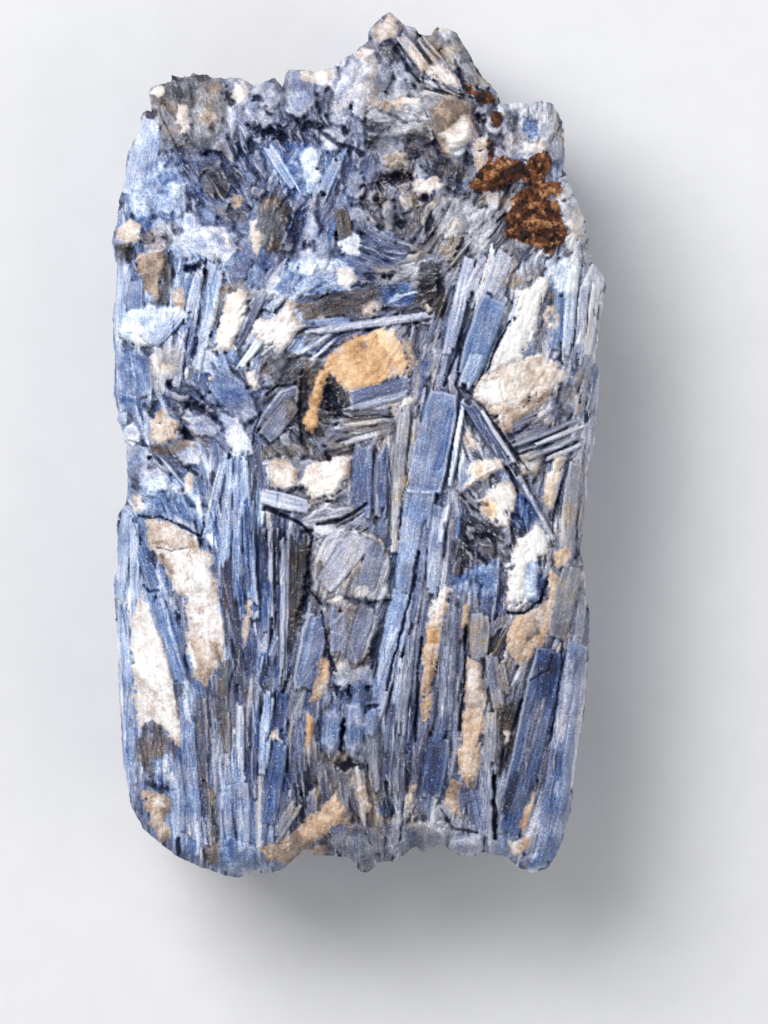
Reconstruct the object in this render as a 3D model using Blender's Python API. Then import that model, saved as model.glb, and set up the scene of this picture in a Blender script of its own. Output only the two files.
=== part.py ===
"""Kyanite blade cluster: a hand specimen of bladed kyanite grown together with quartz, mica and iron oxide.

The specimen lies on its flat back. +Z points out of the bladed face, +Y towards the ragged crest,
and the origin is on the resting plane, under the middle of the specimen.

Shapes on the face are placed on a survey grid: its steps are GRID apart, x runs to the right and
y runs down from the crest, as on a sheet of squared paper laid over the stone.
"""

import math

import bmesh
import bpy
from mathutils import Matrix, Vector, noise

# Driving dimensions, in metres.
LENGTH = 0.1299
THICKNESS = 0.038
RIM_HEIGHT = 0.0285
BLADE_DEPTH = 0.006
BEVEL_ABOVE = 0.003
LUMP_DEPTH = 0.005
ROUGHNESS = 0.0007
NOISE_SEED = 5

# The survey grid: the specimen runs from 12 to 877 down the sheet, and from 113 to 606 across it.
GRID = LENGTH / (877 - 12)
GRID_MIDDLE = (359.5, 444.5)
HALF_LENGTH = LENGTH / 2
HALF_WIDTH = (606 - 113) / 2 * GRID

# The outline seen from above, clockwise from the upper left corner, in grid steps.
OUTLINE = (
    (148, 94), (160, 84), (190, 77), (214, 78), (242, 79), (254, 87), (275, 78), (284, 87), (290, 70),
    (316, 74), (334, 68), (348, 57), (370, 41), (372, 31), (390, 12), (400, 21), (424, 36), (440, 26),
    (457, 33), (470, 55), (484, 80), (501, 104), (522, 102), (546, 102), (559, 116), (565, 150),
    (567, 180), (580, 217), (590, 242), (602, 272), (606, 288), (599, 318), (594, 352), (599, 378),
    (596, 430), (589, 475), (582, 545), (587, 582), (589, 630), (586, 700), (579, 750), (573, 800),
    (563, 838), (551, 867), (531, 872), (511, 860), (484, 852), (468, 857), (441, 844), (424, 853),
    (416, 846), (393, 863), (378, 862), (362, 873), (350, 858), (317, 855), (303, 848), (285, 869),
    (262, 872), (240, 877), (205, 869), (178, 855), (152, 835), (134, 812), (122, 758), (119, 680),
    (114, 592), (117, 530), (129, 502), (127, 455), (116, 395), (114, 345), (117, 290), (113, 240),
    (119, 215), (125, 185), (130, 148), (140, 133), (144, 113),
)

# Rings of the stone below its rim: height above the resting plane, and share of the outline's size.
FLANK_RINGS = ((0.0, 0.80), (0.004, 0.90), (0.010, 0.97), (0.018, 1.0), (RIM_HEIGHT, 0.99))
# Rings of the bladed face, from the rim inwards: share of the outline's size.
FACE_RINGS = (0.92, 0.8, 0.6, 0.3)

# Blades on the face, in grid steps: head x, head y, foot x, foot y, width;
# then how far the blade stands above the face in mm, and its roll about its own length in degrees.
FACE_BLADES = (
    # lower left: long upright blades between two bands of quartz
    (134, 512, 142, 790, 16, 0.3, -22), (147, 525, 153, 592, 15, 0.9, 10), (158, 585, 182, 690, 14, 0.8, 8),
    (184, 690, 192, 800, 13, 0.7, -8), (196, 690, 201, 856, 15, 0.9, 12),
    (229, 690, 230, 800, 12, 1.0, 10), (240, 745, 238, 868, 17, 0.5, -10), (226, 500, 230, 600, 15, 1.2, 14),
    (253, 493, 256, 640, 14, 1.9, 9), (267, 515, 268, 650, 9, 1.0, -12),
    (277, 520, 279, 690, 9, 1.4, 8), (255, 640, 256, 835, 15, 1.5, -8), (268, 645, 264, 700, 15, 1.1, 6),
    (272, 690, 264, 790, 15, 1.8, 14), (276, 755, 272, 832, 26, 0.7, -6),
    # middle: the long pale blade, the blades beside it and the blue lens under the sand pocket
    (436, 395, 424, 492, 42, 2.4, 6), (420, 492, 404, 600, 30, 2.0, 10), (401, 598, 381, 694, 22, 1.9, 14),
    (405, 398, 402, 520, 15, 2.0, -10), (372, 436, 372, 525, 20, 1.2, 8), (389, 440, 391, 545, 14, 1.5, -12),
    (464, 398, 452, 500, 18, 1.5, 16), (440, 500, 430, 600, 20, 1.1, -8), (412, 605, 388, 725, 18, 1.2, 10),
    (334, 406, 412, 388, 24, 1.8, 14), (336, 343, 420, 321, 12, 2.2, -10), (268, 440, 296, 398, 22, 1.4, 8),
    (262, 492, 330, 512, 15, 2.2, -12), (318, 612, 300, 694, 27, 2.2, -10),
    (358, 682, 352, 724, 16, 1.9, 8), (333, 712, 331, 752, 20, 2.0, -8), (358, 715, 352, 756, 16, 1.8, 10),
    # lower middle and lower right
    (462, 600, 446, 720, 18, 1.3, -10), (440, 735, 430, 805, 28, 1.4, 8),
    (388, 770, 384, 845, 18, 0.4, 6), (480, 590, 478, 655, 24, 1.3, 10),
    (494, 645, 500, 735, 15, 0.9, -8), (486, 720, 484, 850, 14, 0.7, 6),
    (556, 640, 512, 842, 42, 1.2, -9), (577, 600, 546, 866, 24, 0.9, 14),
    # upper right: the deep blue blade, the slanted ridge and the blades along the right flank
    (494, 300, 464, 386, 27, 2.1, -12), (468, 262, 448, 345, 17, 1.6, 12), (436, 318, 428, 392, 20, 1.0, -8),
    (467, 396, 516, 478, 14, 2.4, 12), (514, 474, 552, 544, 9, 1.9, -10), (506, 452, 588, 424, 13, 1.6, 10),
    (570, 258, 560, 348, 20, 1.4, -14), (572, 455, 570, 560, 20, 0.9, -12),
    (523, 484, 528, 540, 22, 1.2, 8), (472, 552, 478, 600, 30, 1.1, -8),
    # upper left: blades above and beside the quartz pockets
    (264, 292, 238, 348, 10, 1.9, 14), (222, 262, 202, 350, 12, 1.8, -12), (203, 290, 196, 400, 13, 1.2, 10),
    (124, 262, 126, 322, 19, 0.3, -20), (130, 350, 134, 412, 27, 0.4, -18), (232, 372, 240, 424, 34, 1.2, 8),
    (302, 268, 350, 284, 34, 1.8, -10), (382, 272, 442, 292, 26, 1.2, 8), (214, 452, 206, 540, 16, 1.0, -8),
    # crest: broken, steep blade ends
    (178, 84, 186, 128, 22, 0.8, 10), (212, 84, 222, 150, 24, 0.9, -8), (268, 88, 282, 140, 26, 0.8, 8),
    (300, 78, 296, 122, 22, 1.0, -10), (352, 66, 340, 140, 30, 1.2, 8), (386, 24, 376, 62, 24, 0.6, 10),
    (404, 34, 448, 88, 20, 1.4, -12), (446, 36, 462, 92, 22, 0.6, 12), (532, 108, 530, 158, 46, 0.8, 6),
    (150, 160, 146, 226, 26, 0.3, -14), (262, 160, 276, 250, 28, 1.0, -8),
    (312, 150, 302, 240, 30, 1.1, 10),
)

# Lumps of quartz, sand and iron oxide: how far they stand above the face in mm, then their outline.
FACE_LUMPS = {
    "sand_pocket": (1.3, ((318, 370), (324, 356), (350, 340), (382, 327), (398, 330), (404, 360), (392, 378),
                          (348, 394), (332, 380))),
    "left_quartz_band": (0.5, ((140, 600), (154, 602), (172, 668), (182, 740), (176, 772), (158, 735),
                               (136, 722), (130, 650))),
    "inner_quartz_band": (1.5, ((144, 522), (168, 520), (200, 540), (216, 572), (226, 640), (220, 676),
                                (196, 682), (184, 610), (160, 562))),
    "cream_prism": (2.0, ((224, 294), (242, 290), (252, 302), (236, 350), (222, 354), (212, 348), (217, 312))),
    "white_star": (1.8, ((284, 298), (294, 294), (306, 322), (284, 352), (266, 352), (256, 330), (270, 314))),
    "tan_facet": (0.9, ((132, 262), (148, 254), (166, 256), (168, 280), (160, 310), (144, 296))),
    "white_shelf": (2.0, ((300, 474), (336, 454), (352, 452), (350, 474), (334, 498), (304, 500), (294, 486))),
    "cream_shelf": (1.7, ((266, 460), (286, 456), (298, 474), (290, 490), (270, 484))),
    "white_slab": (2.0, ((512, 292), (546, 276), (544, 304), (534, 346), (520, 366), (492, 378), (488, 366),
                         (504, 322))),
    "speckled_slab": (1.6, ((478, 388), (498, 376), (540, 362), (568, 376), (546, 408), (516, 440),
                            (496, 414), (480, 410))),
    "grey_block": (2.6, ((313, 532), (340, 526), (364, 532), (384, 552), (395, 590), (366, 599), (330, 598),
                         (312, 562))),
    "slate_block": (2.1, ((324, 606), (346, 599), (380, 603), (376, 664), (344, 669), (326, 634))),
    "cream_pocket": (1.6, ((476, 500), (500, 482), (516, 490), (514, 512), (498, 524), (480, 514))),
    "cream_ledge": (1.8, ((464, 484), (476, 464), (502, 462), (494, 474), (468, 494))),
    "white_block": (2.2, ((510, 552), (530, 528), (554, 538), (546, 590), (526, 608), (506, 612))),
    "tan_ledge": (0.6, ((500, 632), (526, 614), (552, 552), (572, 576), (552, 632), (518, 672), (504, 656))),
    "left_tan_strip": (1.2, ((444, 586), (453, 592), (437, 680), (428, 736), (420, 716), (424, 640))),
    "right_tan_strip": (1.3, ((466, 656), (481, 660), (486, 700), (482, 762), (470, 786), (456, 764), (462, 700))),
    "tan_foot": (0.6, ((284, 846), (308, 816), (336, 790), (350, 826), (340, 838), (308, 844))),
    "peach_blade": (1.4, ((552, 456), (568, 456), (560, 492), (547, 512), (541, 496))),
    "iron_oxide_upper": (0.9, ((468, 188), (490, 156), (512, 162), (532, 152), (560, 158), (562, 186),
                               (538, 180), (500, 192), (478, 196))),
    "iron_oxide_lower": (1.4, ((510, 212), (530, 176), (558, 172), (566, 240), (548, 254), (514, 246), (504, 236))),
    "quartz_eye": (1.6, ((424, 112), (440, 98), (462, 100), (474, 120), (470, 142), (446, 156), (430, 136))),
    "mica_mound": (0.8, ((364, 112), (398, 92), (424, 98), (428, 140), (396, 152), (366, 142))),
}

# Open gaps in the face, in grid steps: x, y, length, width; then depth in mm and turn in degrees.
GAPS = (
    (494, 806, 64, 7, 5.0, 3),
    (388, 180, 26, 13, 3.0, 80),
    (378, 205, 18, 8, 2.6, 10),
    (304, 590, 90, 12, 2.6, -8),
    (193, 268, 28, 11, 2.8, 70),
    (324, 404, 44, 8, 2.6, -10),
    (198, 408, 26, 12, 2.4, 80),
    (340, 732, 42, 6, 2.8, -4),
    (310, 520, 54, 7, 2.8, 76),
    (506, 752, 44, 12, 2.4, -14),
)

# Blades along the flanks: which side (-1 left, 1 right), middle y in grid steps, height above the
# resting plane in mm, length in mm and width in mm.
FLANK_BLADES = (
    (-1, 245, 10, 22, 8), (-1, 322, 17, 26, 6), (-1, 392, 8, 26, 9), (-1, 440, 16, 24, 7), (-1, 545, 9, 32, 9),
    (-1, 602, 17, 30, 7), (-1, 700, 10, 28, 9), (-1, 752, 17, 18, 6), (1, 236, 11, 18, 8), (1, 318, 8, 24, 9),
    (1, 396, 16, 28, 7), (1, 492, 9, 30, 9), (1, 566, 17, 26, 7), (1, 652, 10, 30, 9), (1, 716, 17, 24, 7),
    (1, 784, 10, 18, 8),
)


def place(x, y):
    """A point of the survey grid in metres, in the plane of the face."""
    return Vector(((x - GRID_MIDDLE[0]) * GRID, (GRID_MIDDLE[1] - y) * GRID))


def face_height(point):
    """The height of the face's broad dome above the resting plane."""
    across = min(abs(point.x) / HALF_WIDTH, 1.0)
    along = min(abs(point.y) / HALF_LENGTH, 1.0)
    return RIM_HEIGHT + (THICKNESS - RIM_HEIGHT) * (1 - across**4) * (1 - along**4)


def clear_scene():
    for obj in list(bpy.data.objects):
        bpy.data.objects.remove(obj)


def collection_named(name):
    made = bpy.data.collections.new(name)
    bpy.context.scene.collection.children.link(made)
    return made


def mineral_material():
    """Blue-grey kyanite with a pearly, slightly rough surface."""
    material = bpy.data.materials.new("kyanite")
    material.use_nodes = True
    shader = material.node_tree.nodes["Principled BSDF"]
    shader.inputs["Base Color"].default_value = (0.19, 0.26, 0.45, 1)
    shader.inputs["Roughness"].default_value = 0.5
    shader.inputs["Metallic"].default_value = 0.0
    return material


def object_from(bm, name, collection):
    """An object holding the mesh, in flat triangles, so that the Boolean meets no bent faces."""
    mesh = bpy.data.meshes.new(name)
    bmesh.ops.triangulate(bm, faces=bm.faces)
    bmesh.ops.recalc_face_normals(bm, faces=bm.faces)
    bm.to_mesh(mesh)
    bm.free()
    obj = bpy.data.objects.new(name, mesh)
    collection.objects.link(obj)
    return obj


def helper(obj):
    """Marks an object that only shapes the stone: it isn't a piece of its own."""
    obj.hide_render = True
    obj.display_type = "WIRE"
    return obj


def rough(point, amount):
    """A point of the stone pushed about by a smooth, repeatable noise."""
    push = noise.noise_vector(point * 140) + 0.5 * noise.noise_vector(point * 420)
    return point + push * amount


def stone_rings():
    """Closed rings of points from the resting plane up to the middle of the face."""
    outline = [place(x, y) for x, y in OUTLINE]
    for height, share in FLANK_RINGS:
        amount = 0 if height == 0 else ROUGHNESS * (0.3 if share > 0.99 else 1)
        ring = [Vector((p.x * share, p.y * share, height)) for p in outline]
        yield [rough(p, amount) for p in ring]
    for share in FACE_RINGS:
        flat = [p * share for p in outline]
        yield [rough(Vector((p.x, p.y, face_height(p))), ROUGHNESS) for p in flat]


def make_stone(collection):
    """The body of the specimen: a loft through the rings, closed at the resting plane and on the face."""
    bm = bmesh.new()
    rings = [[bm.verts.new(p) for p in ring] for ring in stone_rings()]
    for lower, upper in zip(rings, rings[1:]):
        for i, vert in enumerate(lower):
            after = (i + 1) % len(lower)
            bm.faces.new((vert, lower[after], upper[after], upper[i]))
    bm.faces.new(rings[0])
    bm.faces.new(rings[-1])
    return object_from(bm, "kyanite_cluster", collection)


def blade_prism(length, width, depth, seed):
    """A flat six-sided blade along Y with its upper face at Z 0, narrowed and worn at both ends."""
    bm = bmesh.new()
    bmesh.ops.create_cube(bm, size=1.0)
    bmesh.ops.scale(bm, vec=(width, length, depth), verts=bm.verts)
    bmesh.ops.translate(bm, vec=(0, 0, -depth / 2), verts=bm.verts)
    for vert in bm.verts:
        wear = noise.noise_vector(vert.co * 90 + Vector((seed * 3.7, seed, 0)))
        vert.co.x *= 0.9 if vert.co.y > 0 else 0.84
        vert.co.y += wear.x * min(0.14 * length, 0.6 * width)
        vert.co.z += wear.z * 0.0004 if vert.co.z > -depth / 2 else 0
    if width > BEVEL_ABOVE:
        top_edges = [e for e in bm.edges if all(v.co.z > -depth / 4 for v in e.verts)]
        bmesh.ops.bevel(bm, geom=top_edges, offset=0.07 * width, segments=1, affect="EDGES")
    return bm


def make_face_blade(index, row, collection):
    head_x, head_y, foot_x, foot_y, width, proud, roll = row
    head, foot = place(head_x, head_y), place(foot_x, foot_y)
    high = Vector((head.x, head.y, face_height(head) + proud / 1000))
    low = Vector((foot.x, foot.y, face_height(foot) + proud / 1000))
    obj = object_from(blade_prism((high - low).length, width * GRID, BLADE_DEPTH, index),
                      f"face_blade_{index:02d}", collection)
    along = (high - low).normalized()
    side = along.cross(Vector((0, 0, 1))).normalized()
    turn = Matrix((side, along, side.cross(along))).transposed()
    obj.matrix_world = Matrix.Translation((high + low) / 2) @ (
        turn @ Matrix.Rotation(math.radians(roll), 3, "Y")
    ).to_4x4()
    return helper(obj)


def make_lump(name, proud, corners, collection):
    """A low mound with a flat-topped, slightly narrowed outline, sunk into the face."""
    points = [place(x, y) for x, y in corners]
    middle = sum(points, Vector((0, 0))) / len(points)
    bm = bmesh.new()
    rings = []
    for share, lift in ((1.0, -LUMP_DEPTH), (1.0, -0.0008), (0.82, 0.0)):
        ring = []
        for point in points:
            flat = middle + (point - middle) * share
            top = face_height(flat) + proud / 1000 + lift
            ring.append(bm.verts.new(rough(Vector((flat.x, flat.y, top)), 0.0004)))
        rings.append(ring)
    for lower, upper in zip(rings, rings[1:]):
        for i, vert in enumerate(lower):
            after = (i + 1) % len(lower)
            bm.faces.new((vert, lower[after], upper[after], upper[i]))
    bm.faces.new(rings[0])
    crown = bm.verts.new(Vector((middle.x, middle.y, face_height(middle) + proud / 1000 + 0.0004)))
    for i, vert in enumerate(rings[-1]):
        bm.faces.new((vert, rings[-1][(i + 1) % len(points)], crown))
    return helper(object_from(bm, name, collection))


def rim_x(side, y):
    """The outline's x at a height down the survey grid, on the left or the right flank."""
    found = []
    for (x0, y0), (x1, y1) in zip(OUTLINE, OUTLINE[1:] + OUTLINE[:1]):
        if min(y0, y1) <= y <= max(y0, y1) and y0 != y1:
            found.append(x0 + (x1 - x0) * (y - y0) / (y1 - y0))
    return max(found) if side > 0 else min(found)


def make_flank_blade(index, row, collection):
    """An upright blade let into the flank, so that its outer face stands just inside the outline."""
    side, y, height, length, width = row
    reach = length / 2 / 1000 / GRID
    inner = min(abs(place(rim_x(side, v), v).x) for v in (y - reach, y, y + reach))
    depth = BLADE_DEPTH
    obj = object_from(blade_prism(length / 1000, width / 1000, depth, 100 + index),
                      f"flank_blade_{index:02d}", collection)
    lean = math.radians(12 if height > 14 else -14)
    obj.matrix_world = (
        Matrix.Translation((side * (inner - 0.0002), place(0, y).y, height / 1000))
        @ Matrix.Rotation(side * (math.pi / 2 - lean), 4, "Y")
    )
    return helper(obj)


def make_gap(index, row, collection):
    """A wedge that cuts an open gap into the face, narrow at its floor."""
    x, y, length, width, depth, turn = row
    middle = place(x, y)
    floor = face_height(middle) - depth / 1000
    bm = bmesh.new()
    bmesh.ops.create_cube(bm, size=1.0)
    for vert in bm.verts:
        low = vert.co.z < 0
        vert.co.x *= width * GRID * (0.45 if low else 1.5)
        vert.co.y *= length * GRID * (0.8 if low else 1.15)
        vert.co.z = 0 if low else depth / 1000 + 0.006
    obj = object_from(bm, f"gap_{index:02d}", collection)
    obj.matrix_world = Matrix.Translation((middle.x, middle.y, floor)) @ Matrix.Rotation(
        math.radians(turn), 4, "Z"
    )
    return helper(obj)


def add_boolean(obj, name, operation, collection):
    modifier = obj.modifiers.new(name, "BOOLEAN")
    modifier.operation = operation
    modifier.operand_type = "COLLECTION"
    modifier.collection = collection
    modifier.solver = "EXACT"


def main():
    noise.seed_set(NOISE_SEED)
    clear_scene()
    specimen = collection_named("kyanite blade cluster")
    added = collection_named("grown on")
    removed = collection_named("cut away")
    stone = make_stone(specimen)
    stone.data.materials.append(mineral_material())
    for index, row in enumerate(FACE_BLADES):
        make_face_blade(index, row, added)
    for name, (proud, corners) in FACE_LUMPS.items():
        make_lump(name, proud, corners, added)
    for index, row in enumerate(FLANK_BLADES):
        make_flank_blade(index, row, added)
    for index, row in enumerate(GAPS):
        make_gap(index, row, removed)
    add_boolean(stone, "grow the blades together", "UNION", added)
    add_boolean(stone, "open the gaps", "DIFFERENCE", removed)


main()
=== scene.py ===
"""Kyanite blade cluster, finished: a bladed blue stone lying face up on a pale floor.

The face, the flank and the back of the stone are sheets of survey points. Blades, patches of other
minerals, cracks and hollows are laid on a sheet one after another, so a later one lies over an earlier one,
and each sheet is then made into meshes. A sheet measures places in grid steps and heights in millimetres.
"""

import functools
import math
from collections import namedtuple

import bmesh
import bpy
import numpy as np
from bpy.props import FloatProperty, FloatVectorProperty, IntProperty, PointerProperty
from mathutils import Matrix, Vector


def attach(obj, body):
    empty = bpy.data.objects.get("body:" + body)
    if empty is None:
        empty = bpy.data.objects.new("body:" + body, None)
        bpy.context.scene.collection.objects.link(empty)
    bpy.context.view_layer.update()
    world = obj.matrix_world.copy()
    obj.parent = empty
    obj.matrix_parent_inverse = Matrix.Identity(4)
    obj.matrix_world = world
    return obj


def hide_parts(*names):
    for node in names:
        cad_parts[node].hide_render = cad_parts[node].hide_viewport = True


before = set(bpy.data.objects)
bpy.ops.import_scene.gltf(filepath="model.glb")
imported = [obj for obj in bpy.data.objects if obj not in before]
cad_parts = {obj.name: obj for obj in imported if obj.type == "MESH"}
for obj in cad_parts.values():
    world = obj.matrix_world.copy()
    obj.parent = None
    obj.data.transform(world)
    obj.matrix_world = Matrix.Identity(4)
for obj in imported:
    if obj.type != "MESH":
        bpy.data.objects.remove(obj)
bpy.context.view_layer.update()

bl_info = {
    "name": "Kyanite blade cluster",
    "version": (1, 0, 0),
    "blender": (4, 5, 0),
    "location": "3D View > Sidebar > Kyanite",
    "description": "Builds a bladed kyanite specimen and the plain studio it lies in",
    "category": "Add Mesh",
}

# --- The survey grid ------------------------------------------------------------------------------
# A place is x, y in grid steps. x grows to the right and y grows from the crest to the foot.

CREST_Y, FOOT_Y = 12, 877
LENGTH_MM = 129.9
GRID_MM = LENGTH_MM / (FOOT_Y - CREST_Y)  # one grid step
GRID_MIDDLE = (359.5, 444.5)
GRID_HALF = (246.5, 432.5)  # from the middle to the stone's sides and ends
FACE_WINDOW = (107.0, 612.0, 7.0, 882.0)  # left, right, top and bottom of the face's and the back's sheets


def places(text):
    """Places on the grid, from x,y pairs written one after another."""
    return tuple(tuple(map(float, place.split(","))) for place in text.split())


OUTLINE = places(
    "148,94 151,88 158,85 166,83 171,82 172,75 180,78 190,77 193,73 200,76 207,75 213,78 228,79 240,79 "
    "247,82 253,86 260,83 270,81 274,79 278,82 283,88 286,76 289,70 296,71 303,70 310,71 315,74 321,71 "
    "334,69 340,63 345,58 350,56 356,53 360,47 366,43 371,40 369,35 369,30 374,24 380,19 385,15 390,12 "
    "394,15 398,20 404,25 414,28 420,34 424,36 431,36 433,32 437,27 442,27 450,29 456,33 461,41 467,51 "
    "474,64 481,76 488,84 495,91 499,99 501,104 508,105 514,104 525,103 545,102 552,105 557,112 562,122 "
    "564,131 564,150 565,160 567,180 570,187 575,197 580,212 585,220 585,227 589,242 590,256 591,262 "
    "596,266 602,273 606,283 606,289 604,300 600,320 597,345 594,360 597,366 599,375 599,385 598,400 "
    "596,425 593,450 590,460 588,480 586,500 584,510 582,530 580,550 583,565 586,582 586,600 589,612 "
    "589,640 588,660 587,680 585,700 583,725 580,740 576,760 573,780 572,800 570,815 566,826 562,840 "
    "558,850 553,860 547,868 540,871 532,872 522,869 514,864 508,857 500,855 490,854 482,852 478,855 "
    "470,857 460,855 450,851 446,846 441,844 434,846 428,851 422,852 417,846 412,848 404,854 398,860 "
    "392,862 386,861 378,862 373,868 367,872 361,872 356,867 352,859 347,857 340,856 325,855 315,855 "
    "310,850 303,849 298,855 290,862 286,867 280,870 270,873 262,873 255,870 248,873 240,877 235,877 "
    "225,875 210,870 200,867 185,860 175,855 160,843 150,834 143,828 140,821 133,810 130,800 129,790 "
    "126,775 123,760 122,750 121,720 119,690 118,650 117,630 115,610 114,588 115,575 118,570 118,560 "
    "117,525 119,513 123,507 127,501 128,480 127,460 126,445 122,430 119,415 116,400 114,385 115,360 "
    "113,335 114,320 116,300 117,280 118,265 116,258 113,240 113,232 116,225 118,220 119,200 121,193 "
    "124,190 126,170 127,160 129,150 133,142 138,135 141,128 141,118 143,113 148,110 152,112 151,105 "
    "150,98"
)

# --- What is laid on a sheet ----------------------------------------------------------------------
# Places, widths and lengths are in grid steps. tone is 0 where the mineral is palest and 1 where it is
# darkest. grey goes from 0, blue kyanite, to 1, mica schist. A lift is in mm above the stone around.

Blade = namedtuple("Blade", "head foot widths lift tilt tone grey")  # tilt sideways in degrees
Patch = namedtuple("Patch", "mineral tone lift outline")
Seam = namedtuple("Seam", "width tone lift path")  # a thin pale ridge
Crack = namedtuple("Crack", "width depth path")  # depth in mm
Hollow = namedtuple("Hollow", "x y length width turn depth")  # turn in degrees from level, clockwise


def patch(mineral, tone, lift, outline):
    """A patch of one mineral inside an outline."""
    return Patch(mineral, tone, lift, places(outline))


def seam(width, tone, lift, path):
    """A thin ridge along a path."""
    return Seam(width, tone, lift, places(path))


def crack(width, depth, path):
    """A crack along a path."""
    return Crack(width, depth, places(path))


# Shares of quartz, sand and iron oxide, how grey it is, and the height of its grains in mm. A glassy one is
# a smooth broken face, and one with no grey of its own is as grey as what it lies on.
Mineral = namedtuple("Mineral", "quartz sand rust grey grain glassy", defaults=(False,))
MINERALS = {
    "kyanite": Mineral(0.0, 0.0, 0.0, 0.0, 0.05),
    "clear": Mineral(0.0, 0.0, 0.0, 0.0, 0.015, True),
    "glassy": Mineral(0.0, 0.0, 0.0, None, 0.015, True),
    "slate": Mineral(0.0, 0.0, 0.0, 0.6, 0.07),
    "mica": Mineral(0.15, 0.0, 0.0, 1.0, 0.08),
    "brown": Mineral(0.1, 0.28, 0.10, 1.0, 0.08),
    "quartz": Mineral(1.0, 0.0, 0.0, 0.0, 0.085),
    "smoky": Mineral(1.0, 0.0, 0.0, 0.0, 0.02),
    "amber": Mineral(1.0, 0.35, 0.0, 0.0, 0.035),
    "cream": Mineral(1.0, 0.3, 0.0, 0.0, 0.07),
    "beige": Mineral(1.0, 0.36, 0.0, 0.2, 0.10),
    "peach": Mineral(1.0, 0.56, 0.0, 0.0, 0.07),
    "sand": Mineral(0.2, 1.0, 0.0, 0.0, 0.07),
    "rust": Mineral(0.0, 0.2, 1.0, 0.0, 0.38),
}

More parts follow.
